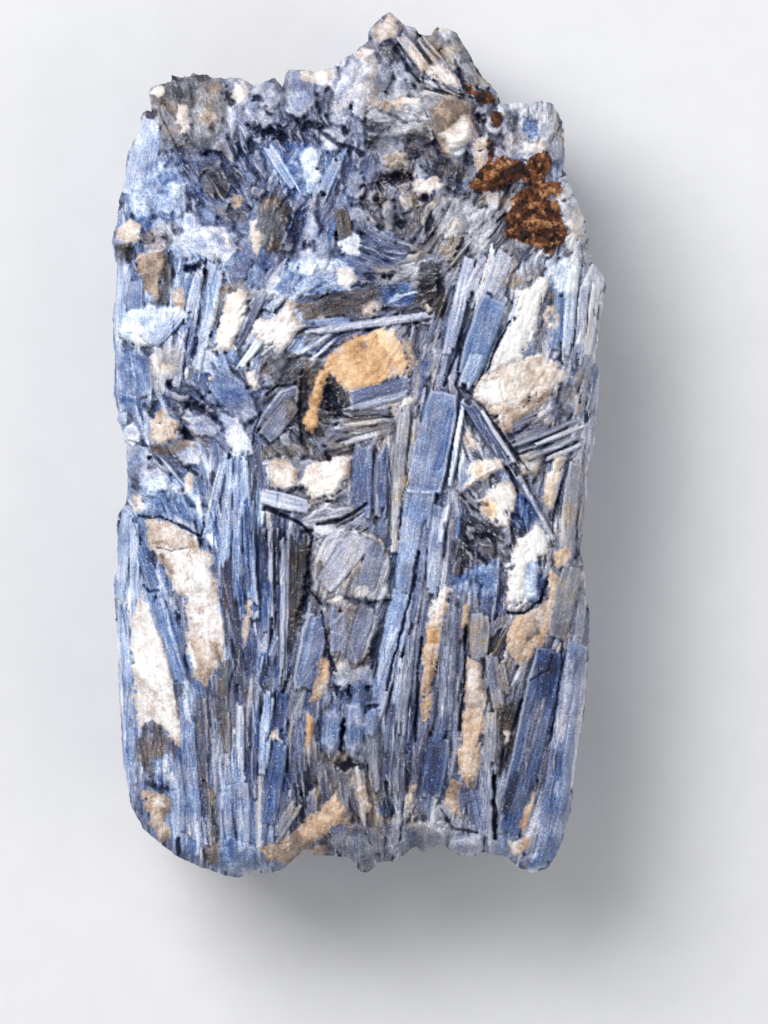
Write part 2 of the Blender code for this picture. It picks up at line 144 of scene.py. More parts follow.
# How the small blades lie: x, y, lean in degrees (positive with the foot to the right), length, width, tone
# and grey.
LIE_OF_BLADES = (
    (160, 110, 22, 40, 7, 0.57, 0.70), (210, 120, 20, 36, 6, 0.57, 0.70), (135, 170, 8, 44, 9, 0.41, 0.20),
    (165, 190, 25, 36, 9, 0.45, 0.20), (215, 185, 35, 34, 8, 0.67, 0.25),
    (250, 110, 28, 30, 8, 0.55, 0.40), (270, 150, 22, 36, 7, 0.65, 0.25),
    (300, 170, -12, 40, 8, 0.49, 0.20), (330, 120, 20, 34, 8, 0.55, 0.35),
    (340, 180, -18, 40, 7, 0.59, 0.25), (350, 80, -25, 44, 8, 0.32, 0.35),
    (390, 60, 34, 34, 8, 0.45, 0.55), (440, 50, 38, 30, 7, 0.50, 0.75), (400, 115, 70, 34, 6, 0.51, 0.70),
    (395, 200, 15, 22, 6, 0.59, 0.60), (455, 165, 10, 30, 8, 0.76, 0.40),
    (480, 150, -5, 30, 8, 0.29, 0.60), (535, 130, -4, 44, 9, 0.25, 0.20),
    (450, 225, -28, 40, 5, 0.52, 0.80), (500, 215, -30, 34, 6, 0.38, 0.85),
    (575, 220, -30, 40, 5, 0.15, 0.35), (225, 240, 50, 30, 10, 0.37, 0.20),
    (280, 225, -25, 40, 10, 0.71, 0.35), (330, 230, -12, 40, 8, 0.58, 0.25),
    (370, 255, 70, 50, 7, 0.62, 0.25), (420, 285, -75, 46, 7, 0.50, 0.60),
    (340, 300, -72, 44, 7, 0.64, 0.35), (130, 290, 4, 60, 9, 0.33, 0.05),
    (130, 390, 6, 60, 10, 0.44, 0.05), (165, 360, -15, 40, 9, 0.24, 0.25),
    (150, 430, 20, 40, 9, 0.31, 0.20), (195, 300, -9, 60, 7, 0.40, 0.10),
    (225, 390, 28, 40, 9, 0.51, 0.05), (200, 410, 60, 30, 7, 0.66, 0.30),
    (280, 400, -60, 36, 9, 0.59, 0.50), (270, 330, -40, 36, 9, 0.09, 0.05),
    (360, 425, -80, 46, 6, 0.48, 0.60), (300, 430, 40, 34, 8, 0.56, 0.55),
    (430, 345, -12, 44, 6, 0.48, 0.45), (460, 310, -16, 60, 6, 0.42, 0.25),
    (480, 340, -19, 60, 9, 0.50, 0.00), (565, 300, -8, 60, 8, 0.27, 0.10),
    (590, 310, -10, 50, 7, 0.23, 0.30), (590, 420, -8, 60, 7, 0.31, 0.35),
    (560, 410, -20, 40, 8, 0.45, 0.50), (540, 435, -72, 50, 6, 0.45, 0.50),
    (160, 480, 55, 34, 8, 0.35, 0.25), (230, 480, -4, 70, 7, 0.32, 0.10),
    (180, 505, 20, 36, 8, 0.39, 0.15), (330, 510, -75, 40, 8, 0.27, 0.45),
    (375, 480, -2, 60, 9, 0.45, 0.35), (410, 450, -4, 60, 8, 0.20, 0.55),
    (440, 450, -8, 80, 10, 0.37, 0.00), (480, 440, 30, 50, 7, 0.45, 0.40),
    (490, 540, 25, 30, 6, 0.55, 0.60), (570, 520, -4, 60, 8, 0.31, 0.55), (125, 600, 2, 90, 8, 0.30, 0.05),
    (150, 560, 12, 60, 8, 0.45, 0.05), (180, 650, 10, 80, 8, 0.47, 0.02), (230, 600, 3, 90, 7, 0.44, 0.12),
    (250, 560, 1, 100, 7, 0.54, 0.00), (275, 580, 0, 90, 5, 0.57, 0.25), (300, 590, -3, 80, 5, 0.80, 0.60),
    (350, 570, -25, 44, 9, 0.45, 0.45), (350, 640, -30, 44, 10, 0.53, 0.30),
    (310, 650, -22, 60, 9, 0.55, 0.35), (400, 560, -12, 90, 8, 0.38, 0.05),
    (430, 560, -10, 80, 7, 0.47, 0.25), (440, 650, -4, 100, 6, 0.57, 0.25),
    (410, 690, -6, 80, 6, 0.57, 0.30), (480, 600, -6, 50, 8, 0.47, 0.35),
    (520, 640, -28, 60, 8, 0.45, 0.50), (570, 600, -14, 60, 9, 0.43, 0.50),
    (540, 720, -16, 110, 10, 0.69, 0.10), (575, 720, -10, 110, 9, 0.45, 0.20),
    (505, 740, -10, 60, 6, 0.59, 0.55), (485, 770, -2, 70, 8, 0.48, 0.25),
    (215, 730, 2, 100, 6, 0.54, 0.45), (150, 760, 2, 70, 12, 0.39, 0.20), (190, 820, 3, 90, 9, 0.39, 0.08),
    (240, 800, 0, 100, 8, 0.37, 0.10), (275, 770, -3, 90, 8, 0.64, 0.00), (320, 770, 4, 50, 7, 0.59, 0.65),
    (350, 720, 0, 60, 9, 0.44, 0.20), (380, 800, 6, 60, 8, 0.45, 0.50), (430, 770, -3, 70, 8, 0.61, 0.10),
    (440, 830, -20, 40, 9, 0.40, 0.40), (480, 830, -5, 50, 9, 0.42, 0.20),
    (545, 830, -14, 70, 9, 0.43, 0.15),
)

UPPER_LEFT = {
    "shoulder blade": Blade((152, 114), (136, 200), (20, 36), 0.6, -12, 0.23, 0.10),
    "shoulder pale": patch("kyanite", 0.34, 0.5, "150,168 182,166 188,186 170,212 140,222 124,216 122,196 "
        "136,182"),
    "shoulder blue": patch("kyanite", 0.41, 0.4, "148,164 172,158 166,192 150,196 142,182"),
    "crumbling crest": patch("mica", 0.52, 0.7, "156,92 172,82 196,78 222,80 232,96 228,128 210,144 "
        "190,150 168,146 158,124"),
    "crest brown 1": patch("brown", 0.62, 0.4, "206,84 226,84 230,104 222,118 208,108"),
    "crest brown 2": patch("brown", 0.55, 0.3, "170,100 184,96 188,120 182,142 172,134"),
    "crest silver": patch("mica", 0.30, 0.8, "190,112 200,96 208,112 204,134 194,140"),
    "dark fibre": Blade((175, 82), (183, 106), (8, 6), 0.9, 0, 0.93, 0.60),
    "cream sliver": patch("cream", 0.11, 0.9, "177,106 187,106 190,130 182,136 175,118"),
    "cream nub": patch("cream", 0.13, 0.6, "148,95 156,86 168,85 166,95 154,100"),
    "white block": patch("quartz", 0.03, 1.0, "232,80 246,82 250,92 244,106 234,106 230,92"),
    "grey knob": patch("glassy", 0.36, 1.0, "252,92 262,82 276,84 282,98 276,112 262,110"),
    "crest lump": patch("glassy", 0.36, 0.7, "286,86 292,70 306,72 316,84 314,108 300,122 287,112"),
    "crest snow": patch("quartz", 0.07, 0.7, "300,71 330,70 338,66 330,84 312,84 300,80"),
    "light facet": patch("kyanite", 0.42, 0.7, "262,150 296,142 330,150 334,172 318,196 300,206 286,192 "
        "270,172"),
    "facet heart": patch("kyanite", 0.58, 0.6, "284,166 300,158 306,182 296,198 284,188"),
    "pale ridge": Blade((268, 146), (300, 200), (12, 9), 1.0, 12, 0.32, 0.10),
    "blue ridge": Blade((340, 156), (318, 206), (12, 12), 0.9, -12, 0.38, 0.05),
    "teal slope": patch("slate", 0.75, -0.7, "198,172 220,166 232,184 226,200 206,196"),
    "gold spot": patch("beige", 0.60, 0.4, "230,198 238,195 246,200 244,210 236,213"),
    "violet slope": patch("slate", 0.65, 0.0, "214,206 234,211 252,212 242,226 224,222"),
    "brown facet": patch("mica", 0.70, 0.7, "262,200 276,196 292,212 290,228 280,250 270,254 256,240 "
        "252,222"),
    "navy facet": patch("kyanite", 1.08, -0.4, "291,214 306,210 308,224 296,242 284,246"),
    "facet seam": seam(2.2, 0.05, 0.5, "275,172 285,192 294,214 290,228 281,250"),
    "dark column": Blade((340, 208), (346, 242), (15, 15), 0.3, 0, 0.83, 0.95),
    "cream rib": patch("cream", 0.19, 0.5, "249,222 258,217 263,240 258,258 250,246"),
    "lavender saddle": patch("glassy", 0.22, 0.7, "172,238 200,226 224,228 240,250 228,262 200,256 "
        "178,262 170,250"),
    "saddle spark": patch("quartz", 0.01, 0.9, "222,234 229,234 232,250 226,250"),
    "cream knob": patch("amber", 0.10, 1.0, "117,229 130,220 142,226 141,240 129,244 117,240"),
    "knob shade": patch("mica", 0.85, -0.2, "117,245 133,243 133,260 120,262"),
    "slope grey": patch("slate", 0.40, 0.2, "140,236 168,222 178,238 166,250 146,250"),
    "tan wedge": patch("amber", 0.74, 1.1, "133,262 142,252 165,250 168,262 163,285 158,302 150,300"),
    # wedge side is the darker right side of the tan wedge: painted shade.
    "wedge side": patch("mica", 0.85, 0.0, "165,252 171,254 174,284 166,306 157,304 163,285"),
    "wedge edge": seam(2.2, 0.15, 0.3, "134,262 141,282 150,301"),
    "wedge top": seam(2.4, 0.2, 0.3, "134,262 146,253 165,251"),
    "tan spot": patch("beige", 0.45, 0.4, "173,290 184,287 187,305 179,313 172,304"),
    "overhang": Hollow(228, 97, 28, 10, 65, 1.5),
    "knob hole": Hollow(258, 99, 12, 8, 0, 1.3),
    "slit hole": Hollow(269, 115, 14, 6, 60, 1.3),
    "long cavity": Hollow(268, 133, 44, 13, 20, 2.4),
    "column cavity": Hollow(251, 146, 14, 38, 10, 1.2),
    "square cavity": Hollow(311, 127, 24, 11, 0, 2.0),
    "step crack": crack(7, 1.8, "322,134 338,146 354,150 362,156"),
    "ink hole": Hollow(345, 131, 11, 9, 20, 1.4),
    "saddle hollow": Hollow(192, 268, 30, 12, -27, 2.2),
    "fibre crack": crack(3, 0.9, "164,122 172,138 178,152"),
    "shoulder crack": crack(3, 0.7, "206,170 200,182 202,194"),
}

CREST = {
    "ridge facet 1": patch("glassy", 0.30, 0.9, "342,74 352,60 361,66 356,96 346,128 330,122 334,94"),
    "ridge facet 2": patch("glassy", 0.20, 1.1, "362,58 372,50 379,62 373,92 363,122 350,114 356,84"),
    "ridge facet 3": patch("glassy", 0.48, 0.7, "379,68 387,60 393,72 382,104 367,112 370,88"),
    "peak": patch("quartz", 0.42, 0.8, "370,32 380,22 390,14 398,22 398,36 384,44 372,42"),
    "peak tip": patch("beige", 0.58, 0.9, "384,20 390,13 397,20 391,25"),
    "peak snow": patch("quartz", 0.00, 0.6, "352,56 364,46 374,44 374,54 362,62"),
    "dark facet": patch("slate", 0.95, 0.2, "378,46 396,44 406,58 398,66 384,58"),
    "slant blade 1": Blade((398, 34), (432, 80), (12, 12), 1.2, -10, 0.40, 0.70),
    "tan stripe": patch("beige", 0.42, 1.3, "398,40 408,38 428,62 432,72 422,76 410,60"),
    "slant blade 2": Blade((418, 36), (450, 78), (10, 12), 1.0, 10, 0.45, 0.80),
    "grey lump": patch("mica", 0.38, 0.9, "434,34 442,28 456,35 470,58 482,84 470,86 456,72 446,62 "
        "436,48"),
    "lump snow": patch("quartz", 0.05, 1.0, "428,66 440,66 458,78 464,92 446,86 430,78"),
    "mica plate 1": Blade((424, 82), (474, 102), (6, 5), 1.5, 14, 0.40, 0.80),
    "mica plate 2": Blade((418, 92), (462, 106), (7, 6), 1.2, 10, 0.32, 0.85),
    "beige fibres": patch("mica", 0.26, 0.6, "364,108 398,92 426,94 430,116 424,134 398,132 370,128"),
    "beige warmth": patch("beige", 0.35, 0.7, "372,106 398,98 420,98 416,106 390,112"),
    "eye rim": patch("mica", 0.50, 1.4, "424,112 434,98 452,94 468,100 475,118 472,142 458,154 446,160 "
        "434,144 426,130"),
    "eye": patch("amber", 0.96, 2.2, "428,110 438,99 454,97 468,104 472,120 466,134 448,144 436,136"),
    "eye light": patch("smoky", 0.28, 2.3, "438,134 452,126 464,114 472,122 472,138 462,148 448,148"),
    "eye tear": patch("smoky", 0.70, 1.2, "436,138 448,146 456,156 446,162 440,152"),
    "pebble": patch("quartz", 0.48, 1.1, "384,152 398,146 410,154 408,166 394,171 384,166"),
    "dark belt": patch("slate", 0.82, -0.5, "364,140 396,134 428,136 436,150 414,152 398,144 378,152 "
        "362,152"),
    "dark saddle": patch("slate", 0.86, -0.9, "424,152 446,160 472,154 478,168 460,190 442,194 426,178"),
    "snow bank": patch("quartz", 0.18, 0.4, "412,182 436,176 446,186 430,197 414,192"),
    "pink column": patch("beige", 0.20, 0.7, "474,140 488,134 488,172 478,176 472,160"),
    "snow block": patch("slate", 0.24, 0.6, "503,108 546,103 560,116 564,140 562,160 540,156 510,154 "
        "502,130"),
    "block blue 1": patch("slate", 0.62, 0.5, "506,112 518,110 518,132 508,134"),
    "block blue 2": patch("kyanite", 0.58, 0.5, "524,118 536,120 540,136 530,142 522,132"),
    "block snow": patch("quartz", 0.01, 0.8, "518,140 532,142 544,138 546,152 524,154"),
    "schist pale": patch("mica", 0.21, 0.4, "428,204 452,196 492,210 496,236 480,262 462,244 440,236"),
    "rust band": patch("rust", 0.51, 0.7, "466,188 476,174 492,162 505,158 520,162 516,172 500,182 "
        "486,192 474,194"),
    "rust band shade": patch("rust", 0.80, 0.3, "486,190 502,172 520,164 522,176 504,192 492,196"),
    "rust lobe": patch("rust", 0.43, 1.0, "524,162 534,153 547,151 552,168 544,180 534,172"),
    "rust lobe shade": patch("rust", 0.85, 0.1, "520,164 530,166 548,182 536,188 522,182"),
    "rust shelf": patch("rust", 0.37, 0.9, "506,204 524,188 544,184 561,182 562,194 540,200 518,212"),
    "rust mass": patch("rust", 0.60, 1.2, "507,240 504,216 520,202 540,198 558,200 554,215 566,236 "
        "563,243 550,256 535,247 520,241"),
    "rust fringe": patch("rust", 0.53, 1.0, "550,204 560,208 566,232 560,236 550,220"),
    "crumb 1": patch("rust", 0.75, 0.9, "461,84 471,86 476,98 466,94"),
    "crumb 2": patch("rust", 0.82, 1.0, "473,92 490,93 497,102 488,106 476,104"),
    "crumb 3": patch("rust", 0.76, 0.9, "490,113 501,113 503,124 496,132 490,124"),
    "crumb 4": patch("rust", 0.59, 0.7, "487,140 493,142 494,170 486,168"),
    "flank rust": patch("rust", 0.18, 0.5, "494,158 508,156 512,164 498,170"),
    "pale flank": patch("slate", 0.14, 0.5, "563,184 569,184 583,216 590,246 592,262 576,264 568,240 "
        "560,212"),
    "stripe 1": crack(6, 1.8, "396,50 406,66 419,83"),
    "stripe 2": crack(5, 1.0, "420,38 429,50 439,61"),
    "stripe 3": crack(4, 1.2, "455,62 459,74 463,82"),
    "plate gap 1": crack(3, 1.2, "433,82 442,91"),
    "plate gap 2": crack(3.5, 1.2, "447,88 458,95 474,101"),
    "crumb hole": Hollow(480, 119, 18, 10, 60, 2.0),
    "cave": Hollow(397, 179, 34, 16, 0, 3.4),
    "cave tail": Hollow(380, 187, 12, 6, 80, 1.6),
    "hole 1": Hollow(377, 202, 13, 9, 70, 1.7),
    "hole 2": Hollow(424, 198, 15, 7, -15, 1.6),
    "hole 3": Hollow(394, 201, 9, 6, 0, 1.2),
    "hole 4": Hollow(362, 187, 7, 6, 0, 1.3),
    "hole 5": Hollow(400, 224, 14, 9, 50, 1.7),
    "hole 6": Hollow(379, 229, 11, 8, 20, 1.5),
    "hole 7": Hollow(443, 212, 6, 4, 0, 1.0),
    "hole 8": Hollow(395, 243, 6, 5, 0, 1.1),
    "eye groove": crack(2.5, 0.6, "425,110 429,128 438,146 447,160"),
}

MIDDLE_LEFT = {
    "edge blade 1": Blade((124, 262), (122, 350), (16, 18), 0.4, -14, 0.27, 0.02),
    "edge blade 2": Blade((138, 276), (134, 326), (14, 16), 0.5, 10, 0.47, 0.0),
    "edge blade 3": Blade((122, 350), (126, 420), (14, 12), 0.4, -12, 0.36, 0.02),
    "edge facet": patch("glassy", 0.58, 0.6, "119,354 134,352 150,356 154,380 152,394 140,400 132,414 "
        "120,404"),
    "edge seam 1": seam(2.0, 0.1, 0.4, "130,352 134,376 136,400"),
    "edge seam 2": seam(1.6, 0.15, 0.4, "120,394 136,398 152,392"),
    "snow shelf": patch("glassy", 0.09, 0.8, "124,312 150,306 182,308 190,316 166,328 152,346 140,346 "
        "120,336"),
    "snow blade": Blade((184, 312), (148, 350), (14, 12), 1.0, -12, 0.31, 0.0),
    "grey nook": patch("mica", 0.18, 0.4, "152,352 172,346 186,356 176,374 160,394 152,380"),
    "nook snow": patch("quartz", 0.07, 0.6, "150,350 156,352 160,372 154,376"),
    "pebble": patch("beige", 0.40, 1.0, "154,414 168,408 180,418 180,438 168,446 150,440"),
    "pebble shade": patch("brown", 0.66, -0.1, "150,444 170,446 188,438 196,446 176,454 152,452"),
    "blade a": Blade((200, 268), (188, 330), (10, 9), 0.8, -12, 0.30, 0.05),
    "blade b": Blade((216, 254), (196, 390), (9, 8), 1.2, 12, 0.33, 0.05),
    "blade c": Blade((224, 262), (206, 350), (8, 8), 1.0, -12, 0.25, 0.02),
    "tooth brown": patch("brown", 0.50, 1.0, "224,286 242,282 256,292 246,304 226,306"),
    "tooth": patch("amber", 0.02, 1.8, "228,294 242,290 250,300 240,336 232,353 212,351 214,336 220,314"),
    "tooth shade": patch("mica", 0.40, 1.1, "222,290 230,294 216,326 211,330 214,312"),
    "tooth blade": Blade((266, 292), (236, 350), (8, 7), 1.2, 12, 0.90, 0.30),
    "tooth seam": seam(2.4, 0.05, 0.5, "254,300 244,330 236,350"),
    "star": patch("quartz", 0.01, 1.5, "254,322 278,318 290,298 300,296 296,316 304,328 296,340 284,354 "
        "268,352 258,344 250,334"),
    "star tan": patch("beige", 0.46, 1.7, "288,300 296,298 292,312 284,318"),
    "star foot": Blade((262, 340), (236, 372), (10, 5), 1.0, 12, 0.11, 0.05),
    "pale facet": patch("kyanite", 0.18, 1.2, "270,294 288,264 300,258 342,260 356,272 350,290 316,296 "
        "290,302"),
    "facet snow": patch("quartz", 0.01, 1.5, "336,268 352,270 359,280 350,292 338,286"),
    "facet seam 1": seam(2.4, 0.0, 0.4, "298,266 318,262 340,264 352,274"),
    "facet blue": patch("glassy", 0.44, 1.1, "274,290 288,270 296,276 292,296 280,298"),
    "dim shelf": patch("mica", 0.74, -0.3, "296,308 330,296 360,288 382,292 366,318 330,318 306,320"),
    "dim brown": patch("brown", 0.87, -0.4, "318,306 350,298 372,296 362,312 326,318"),
    "dim blue": patch("kyanite", 0.62, 0.3, "380,286 408,282 420,294 410,306 386,306"),
    "dim pale": patch("mica", 0.32, 0.3, "372,268 420,266 428,280 400,282 378,286"),
    "dim dark": patch("mica", 0.90, -0.3, "414,300 420,262 440,262 448,300 444,318 424,314"),
    "cream grain": patch("cream", 0.26, 0.5, "362,306 374,302 382,308 376,318 362,316"),
    "bright grain": patch("quartz", 0.00, 0.7, "423,302 430,302 434,308 430,314 423,310"),
    "level blade 1": Blade((442, 314), (300, 334), (9, 8), 1.1, 12, 0.33, 0.25),
    "level blade 2": Blade((352, 320), (300, 326), (8, 7), 0.7, 0, 0.37, 0.0),
    "blue slope": patch("glassy", 0.56, 0.3, "214,366 232,384 252,392 258,414 246,424 226,410 208,388"),
    "blue slope 2": patch("glassy", 0.36, 0.3, "184,418 206,414 222,428 214,438 194,434"),
    "glint 1": patch("quartz", 0.12, 0.9, "246,372 256,370 262,384 256,392 247,384"),
    "glint 2": patch("cream", 0.17, 0.8, "206,374 214,370 216,386 207,390"),
    "junction snow": patch("glassy", 0.15, 0.8, "222,414 238,416 252,440 256,456 236,452 226,438"),
    "rock dark": patch("mica", 0.77, 0.2, "260,354 290,352 312,362 306,386 280,388 262,372"),
    "rock facet 1": Blade((300, 384), (262, 428), (22, 18), 1.2, 12, 0.57, 0.35),
    "rock facet 2": Blade((296, 402), (262, 442), (18, 20), 0.9, -10, 0.52, 0.40),
    "rock facet 3": patch("slate", 0.75, 0.3, "286,398 304,392 306,428 296,446 284,430"),
    "rock seam 1": seam(2.0, 0.15, 0.5, "300,386 280,394 266,412"),
    "rock seam 2": seam(1.6, 0.15, 0.4, "266,412 258,426 256,440"),
    "rock foot": patch("mica", 0.57, 0.3, "262,446 290,440 314,446 312,458 284,454 264,460"),
    "nook hole": Hollow(171, 386, 14, 7, 85, 1.9),
    "shelf crack": crack(2.2, 0.7, "126,332 138,334 150,346"),
    "wedge hole": Hollow(186, 435, 18, 9, 35, 1.9),
    "ink slope": Hollow(198, 408, 34, 13, 10, 1.7),
    "blade gap 1": crack(4.5, 1.1, "208,262 200,310 196,340 192,364"),
    "blade gap 2": crack(3, 0.9, "190,330 186,356 184,380"),
    "rock gap": crack(5, 1.6, "268,396 276,388 286,386 296,384"),
    "rock edge": crack(3.5, 1.2, "262,414 256,428 253,446"),
    "dim pit 1": Hollow(440, 285, 26, 10, 80, 1.8),
    "dim pit 2": Hollow(389, 276, 16, 9, -30, 1.3),
    "dim pit 3": Hollow(416, 324, 12, 5, -20, 1.2),
    "junction hole": Hollow(232, 461, 14, 6, 80, 1.2),
    "flank crack": crack(3, 0.6, "128,440 144,446 158,448"),
}

SAND_POCKET = {
    "pocket wall": patch("mica", 0.92, -0.8, "300,372 320,362 346,388 352,404 330,424 320,440 300,440 "
        "298,400"),
    "pocket": patch("sand", 0.54, 1.0, "324,366 328,357 340,344 354,337 380,329 396,331 401,345 408,362 "
        "400,376 386,384 352,393 342,390 336,380 330,372"),
    "pocket light": patch("sand", 0.21, 1.25, "376,332 394,331 402,348 400,362 388,356 378,342"),
    "pocket grains": patch("cream", 0.40, 0.9, "400,338 412,342 418,364 410,378 404,372 408,360"),
    "sand strip": patch("sand", 0.74, 0.9, "320,370 330,370 322,400 320,424 314,437 306,432 304,420 "
        "309,396"),
    "facet blade": Blade((414, 384), (340, 406), (16, 22), 1.4, 16, 0.69, 0.25),
    "facet lower": Blade((412, 392), (342, 414), (7, 9), 1.2, -18, 0.39, 0.30),
    "swirl 1": Blade((398, 412), (330, 418), (8, 8), 0.6, 10, 0.82, 0.60),
    "swirl 2": Blade((400, 420), (334, 428), (5, 6), 0.8, -10, 0.37, 0.60),
    "swirl 3": Blade((396, 426), (338, 438), (5, 5), 0.7, 8, 0.67, 0.70),
    "swirl 4": Blade((392, 430), (330, 448), (5, 7), 0.6, -8, 0.32, 0.50),
    "swirl brown": patch("brown", 0.67, 0.5, "376,424 394,420 396,434 380,440"),
    "pocket hollow": Hollow(332, 400, 44, 16, 70, 2.4),
    "strip gap": crack(4, 1.4, "303,372 300,400 300,430 304,446"),
    "pocket lip": crack(3, 0.8, "318,352 334,338 352,330"),
    "swirl gap": crack(4, 1.2, "330,414 350,418 372,416 396,418"),
}

CENTRE = {
    "cream shelf 1": patch("cream", 0.12, 1.2, "264,462 286,456 300,470 296,488 282,492 270,480"),
    "ledge": Blade((258, 494), (312, 508), (18, 16), 1.6, 14, 0.27, 0.20),
    "slate wedge": patch("slate", 0.56, 1.2, "314,522 336,504 364,500 368,508 346,520 322,526"),
    "wedge seams": seam(1.5, 0.2, 0.4, "322,518 340,508 362,504"),
    "cream shelf 2": patch("cream", -0.07, 1.9, "298,484 310,464 334,456 351,458 346,484 336,498 312,500"),
    "shelf tan": patch("beige", 0.38, 1.9, "340,460 352,456 352,476 344,488 338,474"),
    "ink blade 1": Blade((364, 440), (362, 520), (22, 18), 1.0, 10, 0.64, 0.15),
    "ink blade 2": Blade((382, 444), (380, 520), (14, 14), 1.3, -10, 0.70, 0.20),
    "mauve blade 1": Blade((406, 400), (392, 560), (14, 10), 2.0, -12, 0.33, 0.75),
    "mauve blade 2": Blade((418, 406), (404, 520), (9, 8), 1.6, 10, 0.40, 0.60),
    "mauve tip": patch("quartz", -0.01, 2.0, "398,406 402,400 416,396 416,406 402,410"),
    "long blade head": Blade((444, 388), (424, 494), (32, 38), 2.3, 9, 0.50, 0.14),
    "long blade stripe": Blade((452, 402), (434, 492), (9, 8), 2.3, -6, 0.57, 0.0),
    "long blade edge": Blade((464, 396), (448, 492), (6, 6), 2.1, 12, 0.15, 0.02),
    "long blade foot": Blade((422, 486), (404, 600), (34, 24), 1.9, 12, 0.46, 0.14),
    "long blade step": seam(2.6, 0.0, 0.7, "408,491 424,493 447,490"),
    "spine": Blade((406, 588), (374, 720), (30, 14), 1.7, 16, 0.38, 0.0),
    "spine light": Blade((396, 620), (372, 700), (9, 7), 1.9, 14, 0.20, 0.0),
    "rib 1": Blade((440, 500), (430, 600), (16, 14), 1.2, -12, 0.43, 0.15),
    "rib 2": Blade((426, 520), (412, 640), (9, 8), 1.3, 12, 0.53, 0.25),
    "rib snow": Blade((448, 498), (436, 560), (8, 5), 1.5, 10, 0.13, 0.20),
    "block": patch("slate", 0.32, 2.2, "313,532 328,524 360,528 376,533 388,546 393,566 386,580 392,600 "
        "374,604 346,598 330,606 321,600 311,588 310,568"),
    "block facet 1": Blade((364, 534), (322, 590), (26, 22), 2.7, 14, 0.32, 0.40),
    "block facet 2": Blade((380, 540), (366, 590), (20, 20), 2.4, -14, 0.46, 0.32),
    "block facet 3": Blade((338, 530), (316, 570), (14, 14), 2.6, -10, 0.24, 0.45),
    "block snow": patch("quartz", 0.07, 2.3, "326,600 340,594 352,600 338,607"),
    "block seam": seam(2.0, 0.0, 0.4, "340,530 362,532 380,540"),
    "under block": patch("slate", 0.50, 1.9, "321,606 345,600 374,604 379,622 372,650 360,680 340,676 "
        "331,664 325,640"),
    "under facet 1": Blade((368, 604), (352, 664), (18, 16), 2.0, 12, 0.55, 0.35),
    "under facet 2": Blade((340, 606), (338, 660), (20, 16), 2.1, -12, 0.47, 0.30),
    "curved seam 1": seam(1.8, 0.1, 0.4, "326,626 336,622 342,612 350,604"),
    "curved seam 2": seam(1.6, 0.15, 0.4, "328,630 342,634 352,646 356,664"),
    "snow break": patch("glassy", 0.20, 1.3, "333,668 346,656 352,668 372,664 374,684 352,686 340,690"),
    "deep facet": patch("clear", 0.66, 0.9, "352,684 366,682 370,700 360,716 351,708"),
    "broken face 1": patch("clear", 0.46, 2.4, "346,702 362,700 367,716 362,744 354,758 346,748 343,724"),
    "broken face 2": patch("clear", 0.36, 2.2, "367,702 378,698 381,716 375,738 367,746 363,726"),
    "broken face 3": patch("clear", 0.54, 2.3, "324,712 336,704 344,716 341,742 330,758 321,744"),
    "violet blade": Blade((318, 612), (304, 694), (26, 26), 1.9, -14, 0.57, 0.30),
    "violet light": Blade((316, 616), (298, 690), (6, 6), 2.1, 14, 0.33, 0.20),
    "tan edge": patch("peach", 0.50, 1.2, "318,654 331,658 335,672 332,684 322,698 308,703 312,690 "
        "317,676"),
    "tan strip": patch("sand", 0.54, 1.0, "306,710 313,715 314,730 309,755 304,745 306,728"),
    # The two black combs are dark stone in a recess, darkened further as painted shade of the recess.
    "black comb 1": Blade((296, 530), (292, 654), (9, 8), -0.4, 0, 1.00, 0.80),
    "black comb 2": Blade((305, 534), (300, 620), (8, 8), -0.8, 0, 1.00, 0.90),
    "comb edge": Blade((288, 530), (285, 690), (5, 5), 0.6, 8, 0.42, 0.40),
    "deep crack": crack(7, 2.4, "266,508 282,514 302,524 310,534"),
    "wedge crack": crack(5, 1.8, "318,524 340,520 356,512 366,504"),
    "block side": crack(4, 1.8, "312,536 309,560 310,590 322,604"),
    "comb hole": Hollow(304, 600, 70, 9, 98, 2.0),
    "block foot": crack(3.5, 1.2, "368,602 380,600 392,600"),
    "violet gap": crack(4, 1.6, "322,612 327,636 330,656 336,670"),
    "slit": crack(5, 2.0, "418,552 412,590 404,622 394,656 386,690"),
    "black gap": Hollow(342, 734, 42, 6, 92, 2.4),
    "foot hollow": Hollow(350, 764, 36, 13, 10, 2.2),
    "facet hole": Hollow(349, 690, 14, 6, 80, 1.6),
    "pit 1": Hollow(372, 706, 16, 6, -40, 1.4),
    "mauve gap": crack(3, 1.2, "408,470 402,500 398,540"),
}

